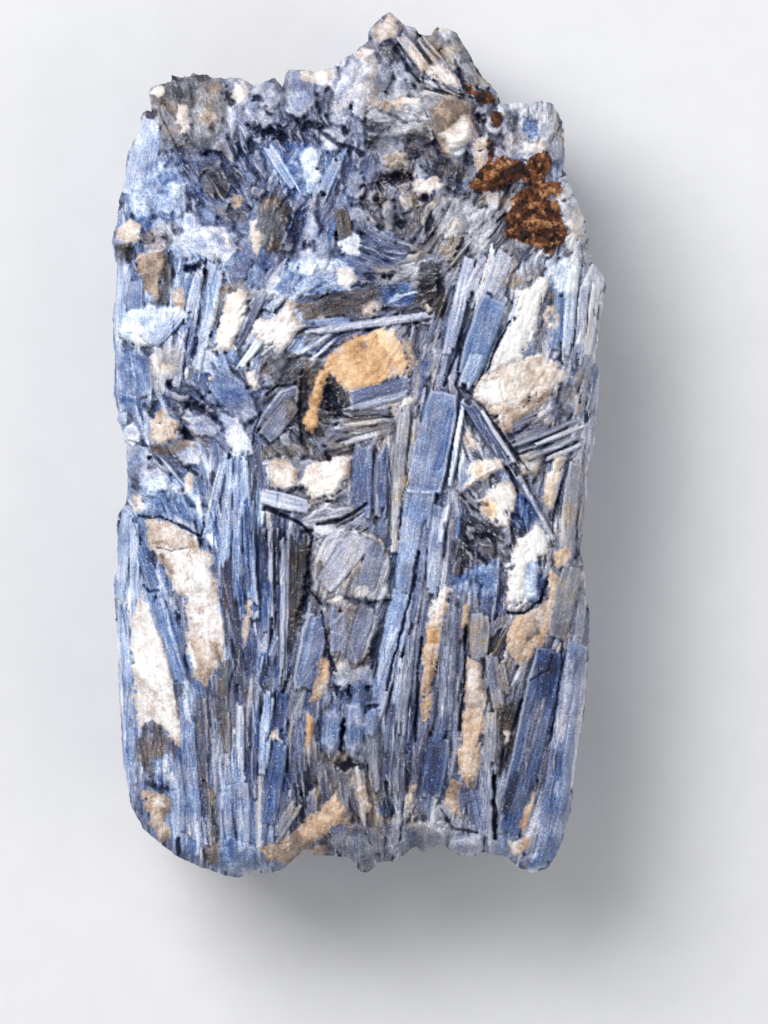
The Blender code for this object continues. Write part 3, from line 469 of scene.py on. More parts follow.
LOWER_LEFT = {
    "rim blade 1": Blade((128, 506), (118, 600), (14, 12), 0.4, -12, 0.33, 0.02),
    "rim blade 2": Blade((122, 600), (132, 800), (12, 14), 0.4, -12, 0.31, 0.02),
    "rim pale": Blade((134, 516), (136, 660), (10, 9), 0.6, 12, 0.17, 0.02),
    "fan 1": Blade((226, 452), (206, 540), (9, 10), 0.9, -12, 0.30, 0.10),
    "fan 2": Blade((232, 450), (222, 600), (8, 12), 1.2, 12, 0.37, 0.05),
    "fan 3": Blade((238, 450), (238, 640), (8, 12), 1.4, -12, 0.42, 0.02),
    "fan 4": Blade((244, 452), (254, 620), (8, 14), 1.7, 10, 0.40, 0.0),
    "fan deep": Blade((250, 496), (252, 560), (13, 8), 1.8, 6, 0.80, 0.0),
    "fan deep 2": Blade((246, 545), (250, 600), (7, 6), 1.7, 6, 0.70, 0.0),
    "stripe 1": Blade((264, 518), (266, 600), (6, 6), 1.2, 10, 0.88, 0.20),
    "stripe 2": Blade((271, 520), (272, 640), (6, 5), 1.5, -10, 0.27, 0.30),
    "stripe 3": Blade((278, 524), (277, 600), (5, 5), 1.0, 10, 0.92, 0.40),
    "stripe 4": Blade((284, 526), (282, 690), (6, 6), 1.3, -10, 0.40, 0.25),
    "sliver": Blade((268, 580), (266, 644), (10, 8), 1.5, 8, 0.76, 0.0),
    "deep pane": patch("kyanite", 0.88, 1.2, "259,652 270,652 272,672 264,690 258,680"),
    "pane seam": seam(2.0, 0.1, 0.5, "254,622 260,646 258,684 262,690"),
    "cream crumb": patch("cream", 0.31, 1.0, "246,600 254,598 254,612 248,640 244,650 242,622"),
    "band shelf": patch("kyanite", 0.35, 0.4, "140,480 176,476 206,496 202,524 168,514 142,512"),
    "band snow": patch("quartz", 0.07, 0.5, "132,496 144,494 148,510 136,512"),
    "cream chip": patch("cream", 0.14, 0.8, "186,470 194,468 194,496 184,494"),
    "quartz band 1": patch("quartz", 0.14, 1.3, "143,526 150,518 166,521 196,536 199,549 211,551 218,585 "
        "222,610 228,640 223,662 205,686 195,676 188,660 187,620 180,596 167,590 172,575 160,560 150,545"),
    "band 1 cap": patch("beige", 0.32, 1.6, "144,526 152,519 168,523 196,538 200,550 176,550 152,544"),
    "band 1 white": patch("quartz", -0.04, 1.6, "188,552 208,552 216,580 212,596 196,592 188,576"),
    "band 1 brown": patch("beige", 0.61, 1.3, "160,552 172,556 176,572 168,586 166,572"),
    "band 1 foot": patch("beige", 0.43, 1.3, "190,636 220,638 224,658 206,684 196,672"),
    "quartz band 2": patch("quartz", 0.23, 0.8, "145,592 151,600 160,620 168,645 178,700 183,730 182,755 "
        "170,740 160,726 140,730 133,700 130,660 132,630 138,600"),
    "band 2 white": patch("quartz", 0.01, 1.0, "134,652 160,640 172,680 180,726 170,734 156,700 136,680"),
    "wedge blade 1": Blade((140, 545), (158, 596), (12, 14), 0.8, -12, 0.60, 0.05),
    "wedge blade 2": Blade((156, 592), (186, 696), (13, 14), 0.9, 12, 0.50, 0.0),
    "wedge blade 3": Blade((184, 690), (192, 810), (12, 12), 0.7, -10, 0.44, 0.05),
    "wedge light": Blade((162, 596), (176, 650), (5, 4), 1.0, 8, 0.27, 0.0),
    "snow side": patch("kyanite", 0.13, 0.8, "184,676 196,690 198,716 190,724 184,700"),
    "purple 1": Blade((226, 556), (230, 652), (12, 9), 0.3, 8, 0.77, 0.45),
    "purple 2": Blade((236, 590), (238, 700), (8, 9), 0.4, -8, 0.82, 0.40),
    "purple 3": Blade((226, 650), (222, 730), (12, 10), 0.2, 8, 0.75, 0.60),
    "streak brown": Blade((226, 700), (228, 770), (9, 8), 0.6, 8, 0.61, 0.95),
    "streak light": Blade((240, 690), (242, 790), (9, 8), 0.9, 10, 0.27, 0.15),
    "light pane 1": Blade((257, 690), (254, 800), (9, 7), 1.3, -8, 0.75, 0.0),
    "light pane 2": Blade((270, 688), (262, 784), (14, 10), 1.8, 14, 0.29, 0.0),
    "teal 1": Blade((282, 686), (282, 742), (12, 12), 0.5, -8, 0.64, 0.10),
    "teal 2": Blade((282, 738), (266, 834), (18, 16), 0.6, 6, 0.60, 0.0),
    "teal snow": patch("quartz", 0.18, 0.8, "268,732 278,728 284,742 272,744"),
    "soft 1": Blade((202, 690), (204, 800), (13, 12), 0.6, 10, 0.57, 0.45),
    "soft 2": Blade((190, 720), (198, 856), (12, 12), 0.6, -10, 0.35, 0.05),
    "soft 3": Blade((176, 770), (180, 846), (14, 14), 0.4, 8, 0.23, 0.08),
    "soft 4": Blade((226, 780), (228, 868), (14, 12), 0.5, -8, 0.33, 0.05),
    "soft 5": Blade((244, 770), (244, 862), (13, 14), 0.7, 10, 0.31, 0.02),
    "soft brown": Blade((209, 776), (216, 856), (9, 10), 0.2, 8, 0.67, 0.95),
    "cove": patch("slate", 0.57, 0.2, "146,722 156,720 166,734 168,758 152,778 140,760 138,740"),
    "cove pale": patch("kyanite", 0.24, 0.3, "152,760 170,752 178,780 160,786"),
    "tan foot": patch("beige", 0.58, 0.5, "142,792 158,789 172,798 170,818 158,832 147,824"),
    "tan foot light": patch("cream", 0.13, 0.6, "152,796 164,796 166,808 154,806"),
    "foot pale": patch("cream", 0.33, 0.4, "150,822 168,818 172,838 160,842"),
    "dark foot": patch("slate", 0.84, 0.0, "204,846 218,840 222,862 206,866"),
    "crack over band": crack(5, 1.4, "140,516 160,517 180,525 200,536"),
    "crack in band": crack(2.5, 0.7, "156,548 172,551 188,548"),
    "crack side": crack(4, 1.1, "203,506 205,528 200,548"),
    "wedge end": crack(4, 1.2, "144,586 150,592 160,590"),
    "smear": Hollow(158, 786, 34, 10, 24, 0.8),
    "dark pit 1": Hollow(180, 618, 18, 6, 80, 1.0),
    "dark pit 2": Hollow(257, 607, 10, 7, 0, 1.1),
    "soft crack": crack(5, 0.7, "212,806 216,830 217,856"),
    "wing crack": crack(3, 1.0, "232,640 236,664 230,690"),
    "pane crack": crack(3, 1.3, "277,690 274,712 268,740"),
}

MIDDLE_RIGHT = {
    "spur": Blade((470, 258), (446, 360), (14, 14), 1.4, 12, 0.32, 0.30),
    "spur 2": Blade((484, 250), (468, 310), (10, 10), 1.2, -10, 0.35, 0.40),
    "seam blade": Blade((494, 244), (468, 346), (7, 6), 1.7, 12, -0.05, 0.0),
    "seam tan": patch("beige", 0.40, 1.8, "490,250 494,246 484,290 474,330 470,344 466,342 474,312 "
        "482,282"),
    "shoulder blade": Blade((506, 250), (486, 300), (20, 16), 0.9, -10, 0.30, 0.35),
    "royal blade": Blade((496, 296), (464, 384), (30, 24), 2.1, -14, 0.61, 0.0),
    "royal light": Blade((478, 352), (462, 392), (16, 14), 2.1, -10, 0.35, 0.0),
    "side blade 1": Blade((562, 290), (556, 354), (16, 14), 1.3, 12, 0.47, 0.0),
    "side blade 2": Blade((574, 262), (566, 362), (12, 12), 1.1, -12, 0.23, 0.05),
    "side blade 3": Blade((586, 272), (576, 372), (10, 10), 0.8, 12, 0.35, 0.25),
    "side blade 4": Blade((597, 276), (586, 362), (10, 8), 0.6, -12, 0.17, 0.40),
    "side sky": patch("kyanite", 0.05, 1.2, "550,268 562,256 578,262 578,290 566,300 554,288"),
    "side cream": seam(3.5, 0.2, 0.3, "592,290 584,320 578,350"),
    "slab": patch("quartz", -0.07, 1.9, "512,292 530,286 546,273 552,268 548,290 539,315 537,335 530,350 "
        "520,366 494,374 487,372 492,355 503,335 509,320 516,312"),
    "slab top": patch("mica", 0.40, 0.8, "502,276 530,268 546,266 536,282 514,290 502,290"),
    "slab side": patch("slate", 0.55, 0.6, "536,318 548,286 556,296 552,306 546,330 540,350 532,350"),
    "ring pebble": patch("quartz", 0.23, 1.6, "546,306 556,304 560,316 556,330 546,328 542,316"),
    "ring heart": patch("slate", 0.50, 1.5, "549,314 555,312 555,324 549,324"),
    "granite": patch("beige", 0.27, 1.5, "478,382 487,373 510,363 540,354 571,374 562,386 548,400 530,403 "
        "520,416 512,432 503,439 495,426 487,411 475,401 470,390"),
    "granite snow": patch("quartz", -0.01, 1.7, "480,384 500,378 506,392 502,408 488,408 474,398"),
    "granite tan": patch("beige", 0.64, 1.3, "506,412 530,398 556,396 540,408 522,420 512,436 504,430"),
    "granite streak": seam(2.5, 0.0, 0.3, "520,360 540,356 560,366 572,374"),
    "slate facet": patch("slate", 0.65, 0.7, "552,396 566,384 574,390 570,412 556,420 548,410"),
    "rim strip": patch("peach", 0.28, 0.9, "586,366 592,372 588,392 578,416 574,414 582,390"),
    "rim dark": Blade((592, 350), (580, 420), (6, 6), 0.2, 8, 0.50, 0.50),
    "fine 1": Blade((582, 418), (506, 450), (5, 6), 1.6, 14, 0.75, 0.35),
    "fine 2": Blade((588, 424), (516, 452), (5, 5), 1.8, -12, 0.13, 0.35),
    "fine 3": Blade((588, 434), (524, 460), (5, 5), 1.6, 12, 0.60, 0.35),
    "fine 4": Blade((586, 442), (540, 462), (5, 5), 1.3, -10, 0.20, 0.30),
    "fan 1": patch("mica", 0.40, 1.0, "516,454 540,450 544,458 536,474 520,472"),
    "fan 2": patch("mica", 0.07, 1.3, "518,466 540,458 538,474 522,476"),
    "cross blade 1": Blade((464, 398), (512, 468), (16, 11), 2.3, 12, 0.73, 0.25),
    "cross blade 2": Blade((474, 402), (520, 472), (5, 5), 2.6, -12, 0.15, 0.30),
    "cross blade 3": Blade((510, 464), (556, 546), (9, 5), 2.0, 10, 0.45, 0.25),
    "cross blade 4": Blade((516, 474), (550, 534), (4, 3), 2.2, -10, 0.10, 0.20),
    "under cross": patch("cream", 0.18, 1.0, "468,426 478,440 478,452 468,450 462,440"),
    "cream ledge": patch("cream", -0.01, 1.4, "472,462 492,458 502,461 504,468 488,476 476,484 462,492 "
        "468,476"),
    "ledge tan": patch("sand", 0.18, 1.5, "472,464 484,462 482,474 472,474"),
    "slate arc": seam(6, 0.72, 0.9, "462,494 474,484 490,474 506,468"),
    "yellow pebble": patch("cream", 0.10, 1.9, "478,500 490,488 504,480 515,486 518,500 512,516 508,530 "
        "495,524 480,512"),
    "pebble gold": patch("sand", 0.14, 1.9, "478,502 488,498 500,512 496,520 482,512"),
    "pebble spot": patch("brown", 0.75, 1.7, "480,502 487,501 490,506 482,507"),
    "arc 1": seam(2, 0.25, 0.5, "462,536 474,532 490,534 506,540"),
    "arc 2": seam(2, 0.30, 0.5, "464,546 480,544 500,548"),
    "arc dark": patch("slate", 0.90, 0.2, "464,520 486,520 502,532 504,546 480,542 462,540"),
    "deep pane": patch("kyanite", 0.73, 1.1, "517,494 530,499 541,514 531,526 516,536 513,520"),
    "low dark": patch("slate", 0.90, -0.2, "450,540 470,540 468,580 452,584"),
    "low blue": patch("kyanite", 0.50, 0.4, "452,576 474,566 496,560 500,590 476,596 456,592"),
    "low teal": patch("kyanite", 0.73, 0.9, "480,596 504,594 504,612 492,618 482,624"),
    "white block": patch("quartz", -0.04, 2.1, "520,535 535,525 548,535 547,552 543,560 544,575 540,598 "
        "525,606 508,610 504,600 507,562"),
    "block blue": patch("kyanite", 0.40, 2.0, "528,562 542,560 544,582 540,600 526,604 524,584"),
    "peach strip": patch("peach", 0.09, 1.4, "552,455 566,453 560,480 555,500 550,510 543,500 545,478"),
    "ink strip": Blade((570, 458), (556, 520), (7, 7), 0.5, 8, 0.85, 0.35),
    "edge grey 1": Blade((576, 452), (564, 560), (14, 16), 1.0, -10, 0.30, 0.75),
    "edge grey 2": Blade((590, 460), (578, 560), (10, 8), 0.6, 10, 0.37, 0.50),
    "ochre lobe": patch("peach", 0.34, 1.0, "552,552 566,546 572,558 566,568 556,566"),
    "rust line": crack(3, 0.6, "553,546 550,560"),
    "pink band": patch("peach", 0.36, 0.9, "546,570 558,572 558,600 555,622 545,642 530,657 515,670 "
        "506,652 504,632 514,616 532,608 544,598"),
    "band light": patch("cream", 0.38, 1.2, "524,618 546,602 548,620 530,644 522,640"),
    "mauve edge 1": Blade((572, 566), (556, 640), (22, 20), 1.0, -12, 0.46, 0.80),
    "mauve edge 2": Blade((584, 590), (576, 650), (8, 10), 0.7, 12, 0.39, 0.50),
    "edge sand": patch("cream", 0.15, 0.4, "578,560 583,566 586,582 580,580"),
    "gap royal": crack(5, 1.6, "459,350 452,366 444,386"),
    "gap slab": crack(3, 1.4, "510,322 498,344 486,372"),
    "gap cross": crack(3.5, 1.4, "500,430 514,452 528,470"),
    "gap arc": crack(5, 1.6, "506,468 514,482 518,492"),
    "gap pebble": crack(4, 1.2, "462,496 470,506 478,512"),
    "gap block": crack(4.5, 1.8, "508,612 524,612 540,600 546,580"),
    "gap peach": crack(4, 1.4, "562,482 556,504 552,520"),
    "gap granite": crack(3, 1.0, "504,440 498,430 486,414"),
    "dark fold": Hollow(484, 536, 34, 8, 8, 1.2),
}

LOWER_RIGHT = {
    "flute 1": Blade((455, 600), (448, 730), (8, 9), 0.8, -12, 0.65, 0.25),
    "flute 2": Blade((446, 640), (438, 740), (7, 8), 1.0, 12, 0.40, 0.20),
    "flute 3": Blade((412, 620), (400, 740), (10, 10), 0.9, -10, 0.43, 0.25),
    "flute 4": Blade((402, 650), (388, 750), (9, 9), 1.1, 12, 0.35, 0.15),
    "flute 5": Blade((414, 690), (406, 770), (8, 7), 0.4, -8, 0.93, 0.10),
    "flute 6": Blade((392, 700), (386, 800), (10, 10), 0.7, 8, 0.65, 0.25),
    "flute 7": Blade((402, 750), (398, 830), (10, 10), 0.6, -8, 0.48, 0.30),
    "flute 8": Blade((372, 730), (376, 800), (10, 10), 0.6, 8, 0.36, 0.45),
    "royal foot": Blade((440, 734), (430, 800), (24, 22), 1.2, 8, 0.74, 0.0),
    "royal foot 2": Blade((444, 712), (434, 748), (14, 10), 1.1, -8, 0.68, 0.0),
    "tan strip a": patch("peach", 0.36, 1.1, "447,590 450,604 443,625 438,650 434,690 430,715 424,736 "
        "421,720 420,690 424,670 421,650 425,625 430,610"),
    "strip a snow": patch("quartz", 0.01, 1.5, "446,584 452,588 446,604 432,618 426,616 434,600"),
    "strip a gold": patch("sand", 0.82, 1.2, "426,628 440,626 438,642 426,644"),
    "strip head": patch("peach", 0.57, 1.0, "462,604 470,600 468,624 461,628"),
    "grey mound": Blade((480, 612), (478, 662), (22, 18), 1.4, 10, 0.47, 0.75),
    "tan strip b": patch("peach", 0.38, 1.2, "466,656 480,660 485,720 482,756 478,776 468,786 461,779 "
        "457,752 460,725 463,700"),
    "strip b head": patch("cream", 0.27, 1.4, "466,656 480,664 486,700 480,710 466,706 464,690"),
    "strip b rim": seam(3, 0.1, 0.4, "482,690 486,716 483,750 480,770"),
    "tan tail": patch("peach", 0.57, 0.8, "452,776 462,782 458,800 462,818 450,812 442,800"),
    "mauve fan": Blade((490, 650), (500, 720), (16, 12), 1.0, -12, 0.45, 0.30),
    "mauve fan 2": Blade((500, 660), (508, 700), (10, 8), 1.0, 10, 0.50, 0.40),
    "green blade 1": Blade((492, 700), (488, 780), (12, 14), 0.9, 8, 0.39, 0.45),
    "green blade 2": Blade((486, 770), (486, 850), (14, 16), 0.8, -8, 0.42, 0.20),
    "green blade 3": Blade((472, 786), (478, 830), (16, 16), 0.4, 8, 0.61, 0.10),
    "crumble": patch("mica", 0.90, -0.3, "500,704 516,700 514,740 504,776 496,778 498,740"),
    "crumble cream": patch("cream", 0.32, 0.5, "503,730 513,730 513,742 504,744"),
    "blade a": Blade((551, 646), (506, 838), (34, 26), 1.0, -12, 0.65, 0.03),
    "blade a violet": Blade((544, 690), (516, 790), (12, 10), 1.1, -10, 0.61, 0.25),
    "blade a deep": Blade((516, 770), (500, 824), (9, 9), 1.1, -8, 0.87, 0.0),
    "blade a head": Blade((548, 650), (544, 700), (20, 16), 1.1, -10, 0.83, 0.0),
    "blade b": Blade((578, 640), (548, 866), (24, 32), 0.8, 12, 0.43, 0.10),
    "blade b pale": Blade((572, 650), (556, 770), (12, 10), 0.9, 10, 0.35, 0.25),
    "blade b blue": Blade((560, 740), (546, 850), (10, 12), 0.9, -10, 0.53, 0.0),
    "edge pale": Blade((587, 650), (572, 800), (6, 7), 0.5, -8, 0.19, 0.35),
    "sliver tan": patch("peach", 0.47, 1.1, "536,784 535,806 524,832 518,826 525,806"),
    "sliver spot": patch("peach", 0.52, 0.8, "522,834 532,832 528,848 518,854"),
    "foot pale": patch("cream", 0.27, 0.5, "508,840 520,838 522,858 510,856"),
    "bottom tan": patch("beige", 0.62, 0.6, "256,850 280,838 300,825 316,810 326,800 335,790 346,812 "
        "351,830 326,836 308,846 290,850 266,864"),
    "bottom sand": patch("peach", 0.50, 0.8, "300,826 316,812 336,792 346,812 340,826 312,838 300,842"),
    "bottom cream": patch("cream", 0.27, 0.9, "352,786 365,785 372,804 368,816 358,802"),
    "bottom cream 2": patch("cream", 0.30, 0.8, "405,798 410,785 418,783 415,802 408,814"),
    "foot grey": Blade((300, 800), (272, 842), (14, 12), 0.5, 12, 0.35, 0.60),
    "foot blue": patch("kyanite", 0.74, 0.3, "378,800 388,796 394,812 386,818 378,812"),
    "foot lobe 1": patch("glassy", 0.40, 0.5, "452,838 478,834 486,848 468,856 452,850"),
    "foot lobe 2": patch("glassy", 0.44, 0.4, "356,850 374,846 376,864 362,870"),
    "foot lump 1": patch("glassy", 0.44, 0.6, "205,846 232,838 262,850 270,868 244,876 214,868"),
    "foot lump 2": patch("beige", 0.66, 0.4, "272,848 300,842 330,844 326,856 296,864 276,862"),
    "foot lump 3": patch("glassy", 0.50, 0.5, "330,826 356,822 384,834 380,852 350,858 330,846"),
    "foot lump 4": patch("glassy", 0.46, 0.5, "392,830 420,820 446,832 444,852 410,856 394,848"),
    "foot lobe 3": patch("glassy", 0.42, 0.4, "516,858 546,852 548,866 530,870"),
    "slit 1": crack(5, 1.8, "422,638 418,672 417,704 414,740"),
    "slit 2": crack(4.5, 1.7, "466,624 465,670 462,700 459,730"),
    "slit 3": crack(7, 3.0, "494,776 494,800 495,838"),
    "slit 4": crack(4, 1.2, "522,700 512,730 506,760"),
    "slit 5": crack(3.5, 1.2, "562,642 560,680 550,740"),
    "slit 6": crack(3, 1.0, "552,654 548,668 530,680"),
    "slit 7": crack(3, 0.9, "404,800 402,824 400,840"),
    "slit 8": crack(3.5, 0.8, "440,808 454,828 478,832"),
    "slit 9": crack(3, 0.8, "350,806 362,824 372,846"),
    "foot notch": crack(3, 1.0, "484,836 483,852"),
}

FACE_FEATURES = (UPPER_LEFT, CREST, MIDDLE_LEFT, SAND_POCKET, CENTRE, LOWER_LEFT, MIDDLE_RIGHT, LOWER_RIGHT)

# Broad places where the face changes: x, y, reach, how much tone is added, a painted falloff of light that
# darkens the lower face and lightens the upper left and the middle, and how much grey is added.
BROAD_SHADE_AND_GREY = (
    (200, 790, 85, 0.10, 0.08), (380, 830, 75, 0.07, 0.20), (400, 620, 75, 0.07, 0.0),
    (520, 760, 75, 0.03, 0.12), (470, 660, 60, -0.01, 0.14), (190, 225, 50, -0.06, 0.0),
    (350, 460, 55, -0.04, 0.08),
)

# --- Sizes of the whole stone ---------------------------------------------------------------------

RIM_MM = 30.0  # height of the rim of the face above the floor
TOP_MM = 37.5  # height of the middle of the face
RIM_SWING_MM = 1.8  # how far the rim rises and dips round the stone
LAND_MM = 1.1  # how far the broad face rises and dips
ROUND_STEPS = 15.0  # how far in from the outline the face starts to roll over
RIM_DROP_MM = 2.2  # how far it has dropped at the outline
STAND_SHARE = 0.45  # how much of a thing's lift shows as a step at its edge
SWELL_SHARE = 0.7  # how much of it shows as a gentle rise round it
CRACK_SHARE = 0.55  # how much of a crack's depth is sunk
HOLLOW_SHARE = 0.9  # how much of a hollow's depth is sunk
FRAY_STEPS = 6.0  # how wide a patch's edge frays
GLASSY_FRAY = 4.5  # how wide a smooth broken face's edge frays
SMALL_PATCH = 34.0  # narrower patches fray less
COARSE_GRAIN_MM = 0.12  # grains as high as this break up as far as coarse blades do
FACET_TRIES = 900  # places tried for a smooth broken face
PATCH_REACH = 12  # how far outside its outline a patch can fray
MOAT_STEPS = 2.4  # width of the sunk line round a blade

BAND_CUTS = (235, 430, 650)
BAND_NAMES = ("crest", "upper_face", "middle_face", "foot")
FACE_CAP_MM = 22.0  # height of the caps that close the bands, hidden inside the stone
FACE_CAP_SHARE = 0.72  # and their size against the face

# Height in mm against the share of the outline.
FLANK_PROFILE = ((0.0, 0.80), (2.0, 0.86), (5.0, 0.925), (9.0, 0.965), (14.0, 1.0), (40.0, 1.0))
FLANK_STEPS = 150.0  # from the rim down to the base, on the flank's sheet
FLANK_STEP = 1.6  # between its survey points
FLANK_ROWS = 36  # in each of the two rings
FLANK_CAP_MM = 13.0  # height at which the rings' hidden caps meet
FLANK_CAP_SHARE = 0.8
FLANK_POCKETS = 56  # patches of other minerals, with three hollows for each
END_ON = 0.72  # blades show their ends where the flank faces this much up or down the grid
FLANK_FACETS = ((150, 70, 2.6), (64, 36, 1.4))  # length, height and depth in mm of its broken facets

BASE_CAP_MM = 2.5  # height of the lower ring's hidden cap over the back
BASE_CAP_SHARE = 0.97
BACK_STEP = 3.2  # between the survey points of the back
BACK_POCKETS = 40
BACK_CAP_MM = 3.5  # height of the back's own hidden cap
BACK_CAP_SHARE = 0.96
BASE_SHARE = 0.80  # size of the resting face against the outline

# --- Noise ----------------------------------------------------------------------------------------


def hashed(column, row, seed):
    """A number from 0 to 1 for each whole-number place, the same each time."""
    value = column.astype(np.int64) * 374761393 + row.astype(np.int64) * 668265263
    value = (value + seed * 974634777) & 0xFFFFFFFF
    value = ((value ^ (value >> 13)) * 1274126177) & 0xFFFFFFFF
    value = ((value ^ (value >> 16)) * 1597334677) & 0xFFFFFFFF
    return (value ^ (value >> 15)) / 0xFFFFFFFF


def smooth(share):
    """Eases a share from 0 to 1 at both ends."""
    share = np.clip(share, 0.0, 1.0)
    return share * share * (3 - 2 * share)


def wave(x, y, seed):
    """Smooth noise from -1 to 1 with swells about one unit across."""
    column, row = np.floor(x), np.floor(y)
    right, down = smooth(x - column), smooth(y - row)
    upper = hashed(column, row, seed) * (1 - right) + hashed(column + 1, row, seed) * right
    lower = hashed(column, row + 1, seed) * (1 - right) + hashed(column + 1, row + 1, seed) * right
    return 2 * (upper * (1 - down) + lower * down) - 1


def waves(x, y, seed, octaves=3):
    """Noise from about -1 to 1 with finer and finer swells."""
    total = sum(wave(x * 2**n, y * 2**n, seed + 31 * n) / 1.7**n for n in range(octaves))
    return total / sum(1 / 1.7**n for n in range(octaves)) * 1.3


def chips(x, y, seed):
    """Splits a plane into angular chips about one unit across.

    Gives two chances for each chip, how far right and down of its middle a point lies, and the way to its
    border.
    """
    column, row = np.floor(x), np.floor(y)
    nearest, second = np.full(x.shape, 9.0), np.full(x.shape, 9.0)
    found = np.zeros((4, *x.shape))
    for right in (-1, 0, 1):
        for down in (-1, 0, 1):
            cell_x, cell_y = column + right, row + down
            away_x = x - cell_x - hashed(cell_x, cell_y, seed)
            away_y = y - cell_y - hashed(cell_x, cell_y, seed + 1)
            away = np.hypot(away_x, away_y)
            second = np.minimum(second, np.maximum(away, nearest))
            chances = hashed(cell_x, cell_y, seed + 2), hashed(cell_x, cell_y, seed + 3)
            found = np.where(away < nearest, (*chances, away_x, away_y), found)
            nearest = np.minimum(nearest, away)
    return (*found, second - nearest)


# --- A sheet of survey points ---------------------------------------------------------------------


class Sheet:
    """Survey points over one side of the stone, with the relief in mm and the mineral at each.

    across and along are in mm, measured along the blades. fibre tells neighbouring blades apart, and coarse
    is 0 on the smoothest faces.
    """

    LAYERS = ("relief", "tone", "grey", "quartz", "sand", "rust", "across", "along", "fibre", "coarse")

    def __init__(self, left, right, top, bottom, step):
        self.left, self.top, self.step = left, top, step
        self.x, self.y = np.meshgrid(np.arange(left, right, step), np.arange(top, bottom, step))
        for layer in self.LAYERS:
            setattr(self, layer, np.zeros(self.x.shape))

    def window(self, x, y, reach):
        """Rows and columns that hold the points within reach of all the places given."""
        low_x, high_x = min(x) - reach - self.left, max(x) + reach - self.left
        low_y, high_y = min(y) - reach - self.top, max(y) + reach - self.top
        columns = slice(max(0, int(low_x / self.step)), max(0, int(high_x / self.step) + 2))
        rows = slice(max(0, int(low_y / self.step)), max(0, int(high_y / self.step) + 2))
        return rows, columns

    def blend(self, part, cover, **values):
        """Mixes new values into the layers where cover is above 0."""
        for layer, value in values.items():
            held = getattr(self, layer)
            held[part] += (value - held[part]) * cover

    def grainy(self, part=...):
        """How much of the stone is quartz, sand or iron oxide, from 0 to 1."""
        return np.clip(self.quartz[part] + self.sand[part] + self.rust[part], 0, 1)


def depth_inside(outline, x, y):
    """Distance to the outline in grid steps, positive inside it."""
    nearest = np.full(x.shape, 1e9)
    inside = np.zeros(x.shape, bool)
    corners = np.array(outline, float)
    for (ax, ay), (bx, by) in zip(corners, np.roll(corners, -1, axis=0)):
        nearest = np.minimum(nearest, distance_to_line(x, y, ax, ay, bx, by))
        if ay != by:
            inside ^= ((ay > y) != (by > y)) & (x < (bx - ax) * (y - ay) / (by - ay) + ax)
    return np.where(inside, nearest, -nearest)


def distance_to_line(x, y, ax, ay, bx, by):
    """Distance from each point to the straight line between two places."""
    length = max((bx - ax) ** 2 + (by - ay) ** 2, 1e-9)
    share = np.clip(((x - ax) * (bx - ax) + (y - ay) * (by - ay)) / length, 0, 1)
    return np.hypot(x - ax - share * (bx - ax), y - ay - share * (by - ay))


def distance_to_path(x, y, path, sway, swing, seed):
    """Distance from each point to a bent line that sways by some steps, with swings of a given length."""
    x, y = x + sway * waves(x / swing, y / swing, seed), y + sway * waves(x / swing, y / swing, seed + 1)
    return np.minimum.reduce([distance_to_line(x, y, *a, *b) for a, b in zip(path, path[1:])])


# --- Laying blades --------------------------------------------------------------------------------


def along_blade(sheet, blade, seed):
    """The part of a sheet near a blade, its length, and how far along and across it each point lies."""
    (head_x, head_y), (foot_x, foot_y) = blade.head, blade.foot
    length = math.hypot(foot_x - head_x, foot_y - head_y)
    run_x, run_y = (foot_x - head_x) / length, (foot_y - head_y) / length
    part = sheet.window((head_x, foot_x), (head_y, foot_y), max(blade.widths) / 2 + 5)
    x, y = sheet.x[part], sheet.y[part]
    along = (x - head_x) * run_x + (y - head_y) * run_y
    across = (x - head_x) * run_y - (y - head_y) * run_x
    return part, length, along, across + 1.1 * wave(along / 17, np.full(x.shape, 0.5), seed)


def split_in_laths(along, across, broad, seed):
    """The number of the lath that each point of a blade lies on, and two chances for each lath."""
    width = (2.6 + 1.6 * (seed % 5) / 4) * (1 + 1.2 * broad)
    lath = np.floor((across + 1.6 * wave(along / 40, along * 0 + 3.5, seed + 1)) / width + 0.5)
    return lath, hashed(lath, lath * 0, seed + 2), hashed(lath, lath * 0, seed + 3)


def inside_blade(blade, length, along, across, broad, chances, taper):
    """How far inside a blade's broken ends, and how far inside its sides, each point lies."""
    half = 0.5 * (blade.widths[0] + (blade.widths[1] - blade.widths[0]) * np.clip(along / length, 0, 1))
    ragged = min(0.3 * length, 26) * (1 - 0.65 * broad)
    start, end = ragged * 0.6 * chances[0], length - ragged * chances[1]
    tip = np.minimum(along - start, end - along)
    return tip, half * (1 - taper + taper * smooth(tip / (0.25 * length))) - np.abs(across)


def blade_relief(blade, share_along, across, uneven, relief_share, seed):
    """Height of a blade's surface in mm, tilted sideways and pitched from end to end."""
    rise = 0.6 * math.tan(math.radians(blade.tilt)) * GRID_MM
    pitch = 0.5 * (hashed(np.array(seed), np.array(5), 6) - 0.5) * (share_along - 0.5)
    return STAND_SHARE * blade.lift + rise * across + relief_share * (uneven + pitch)


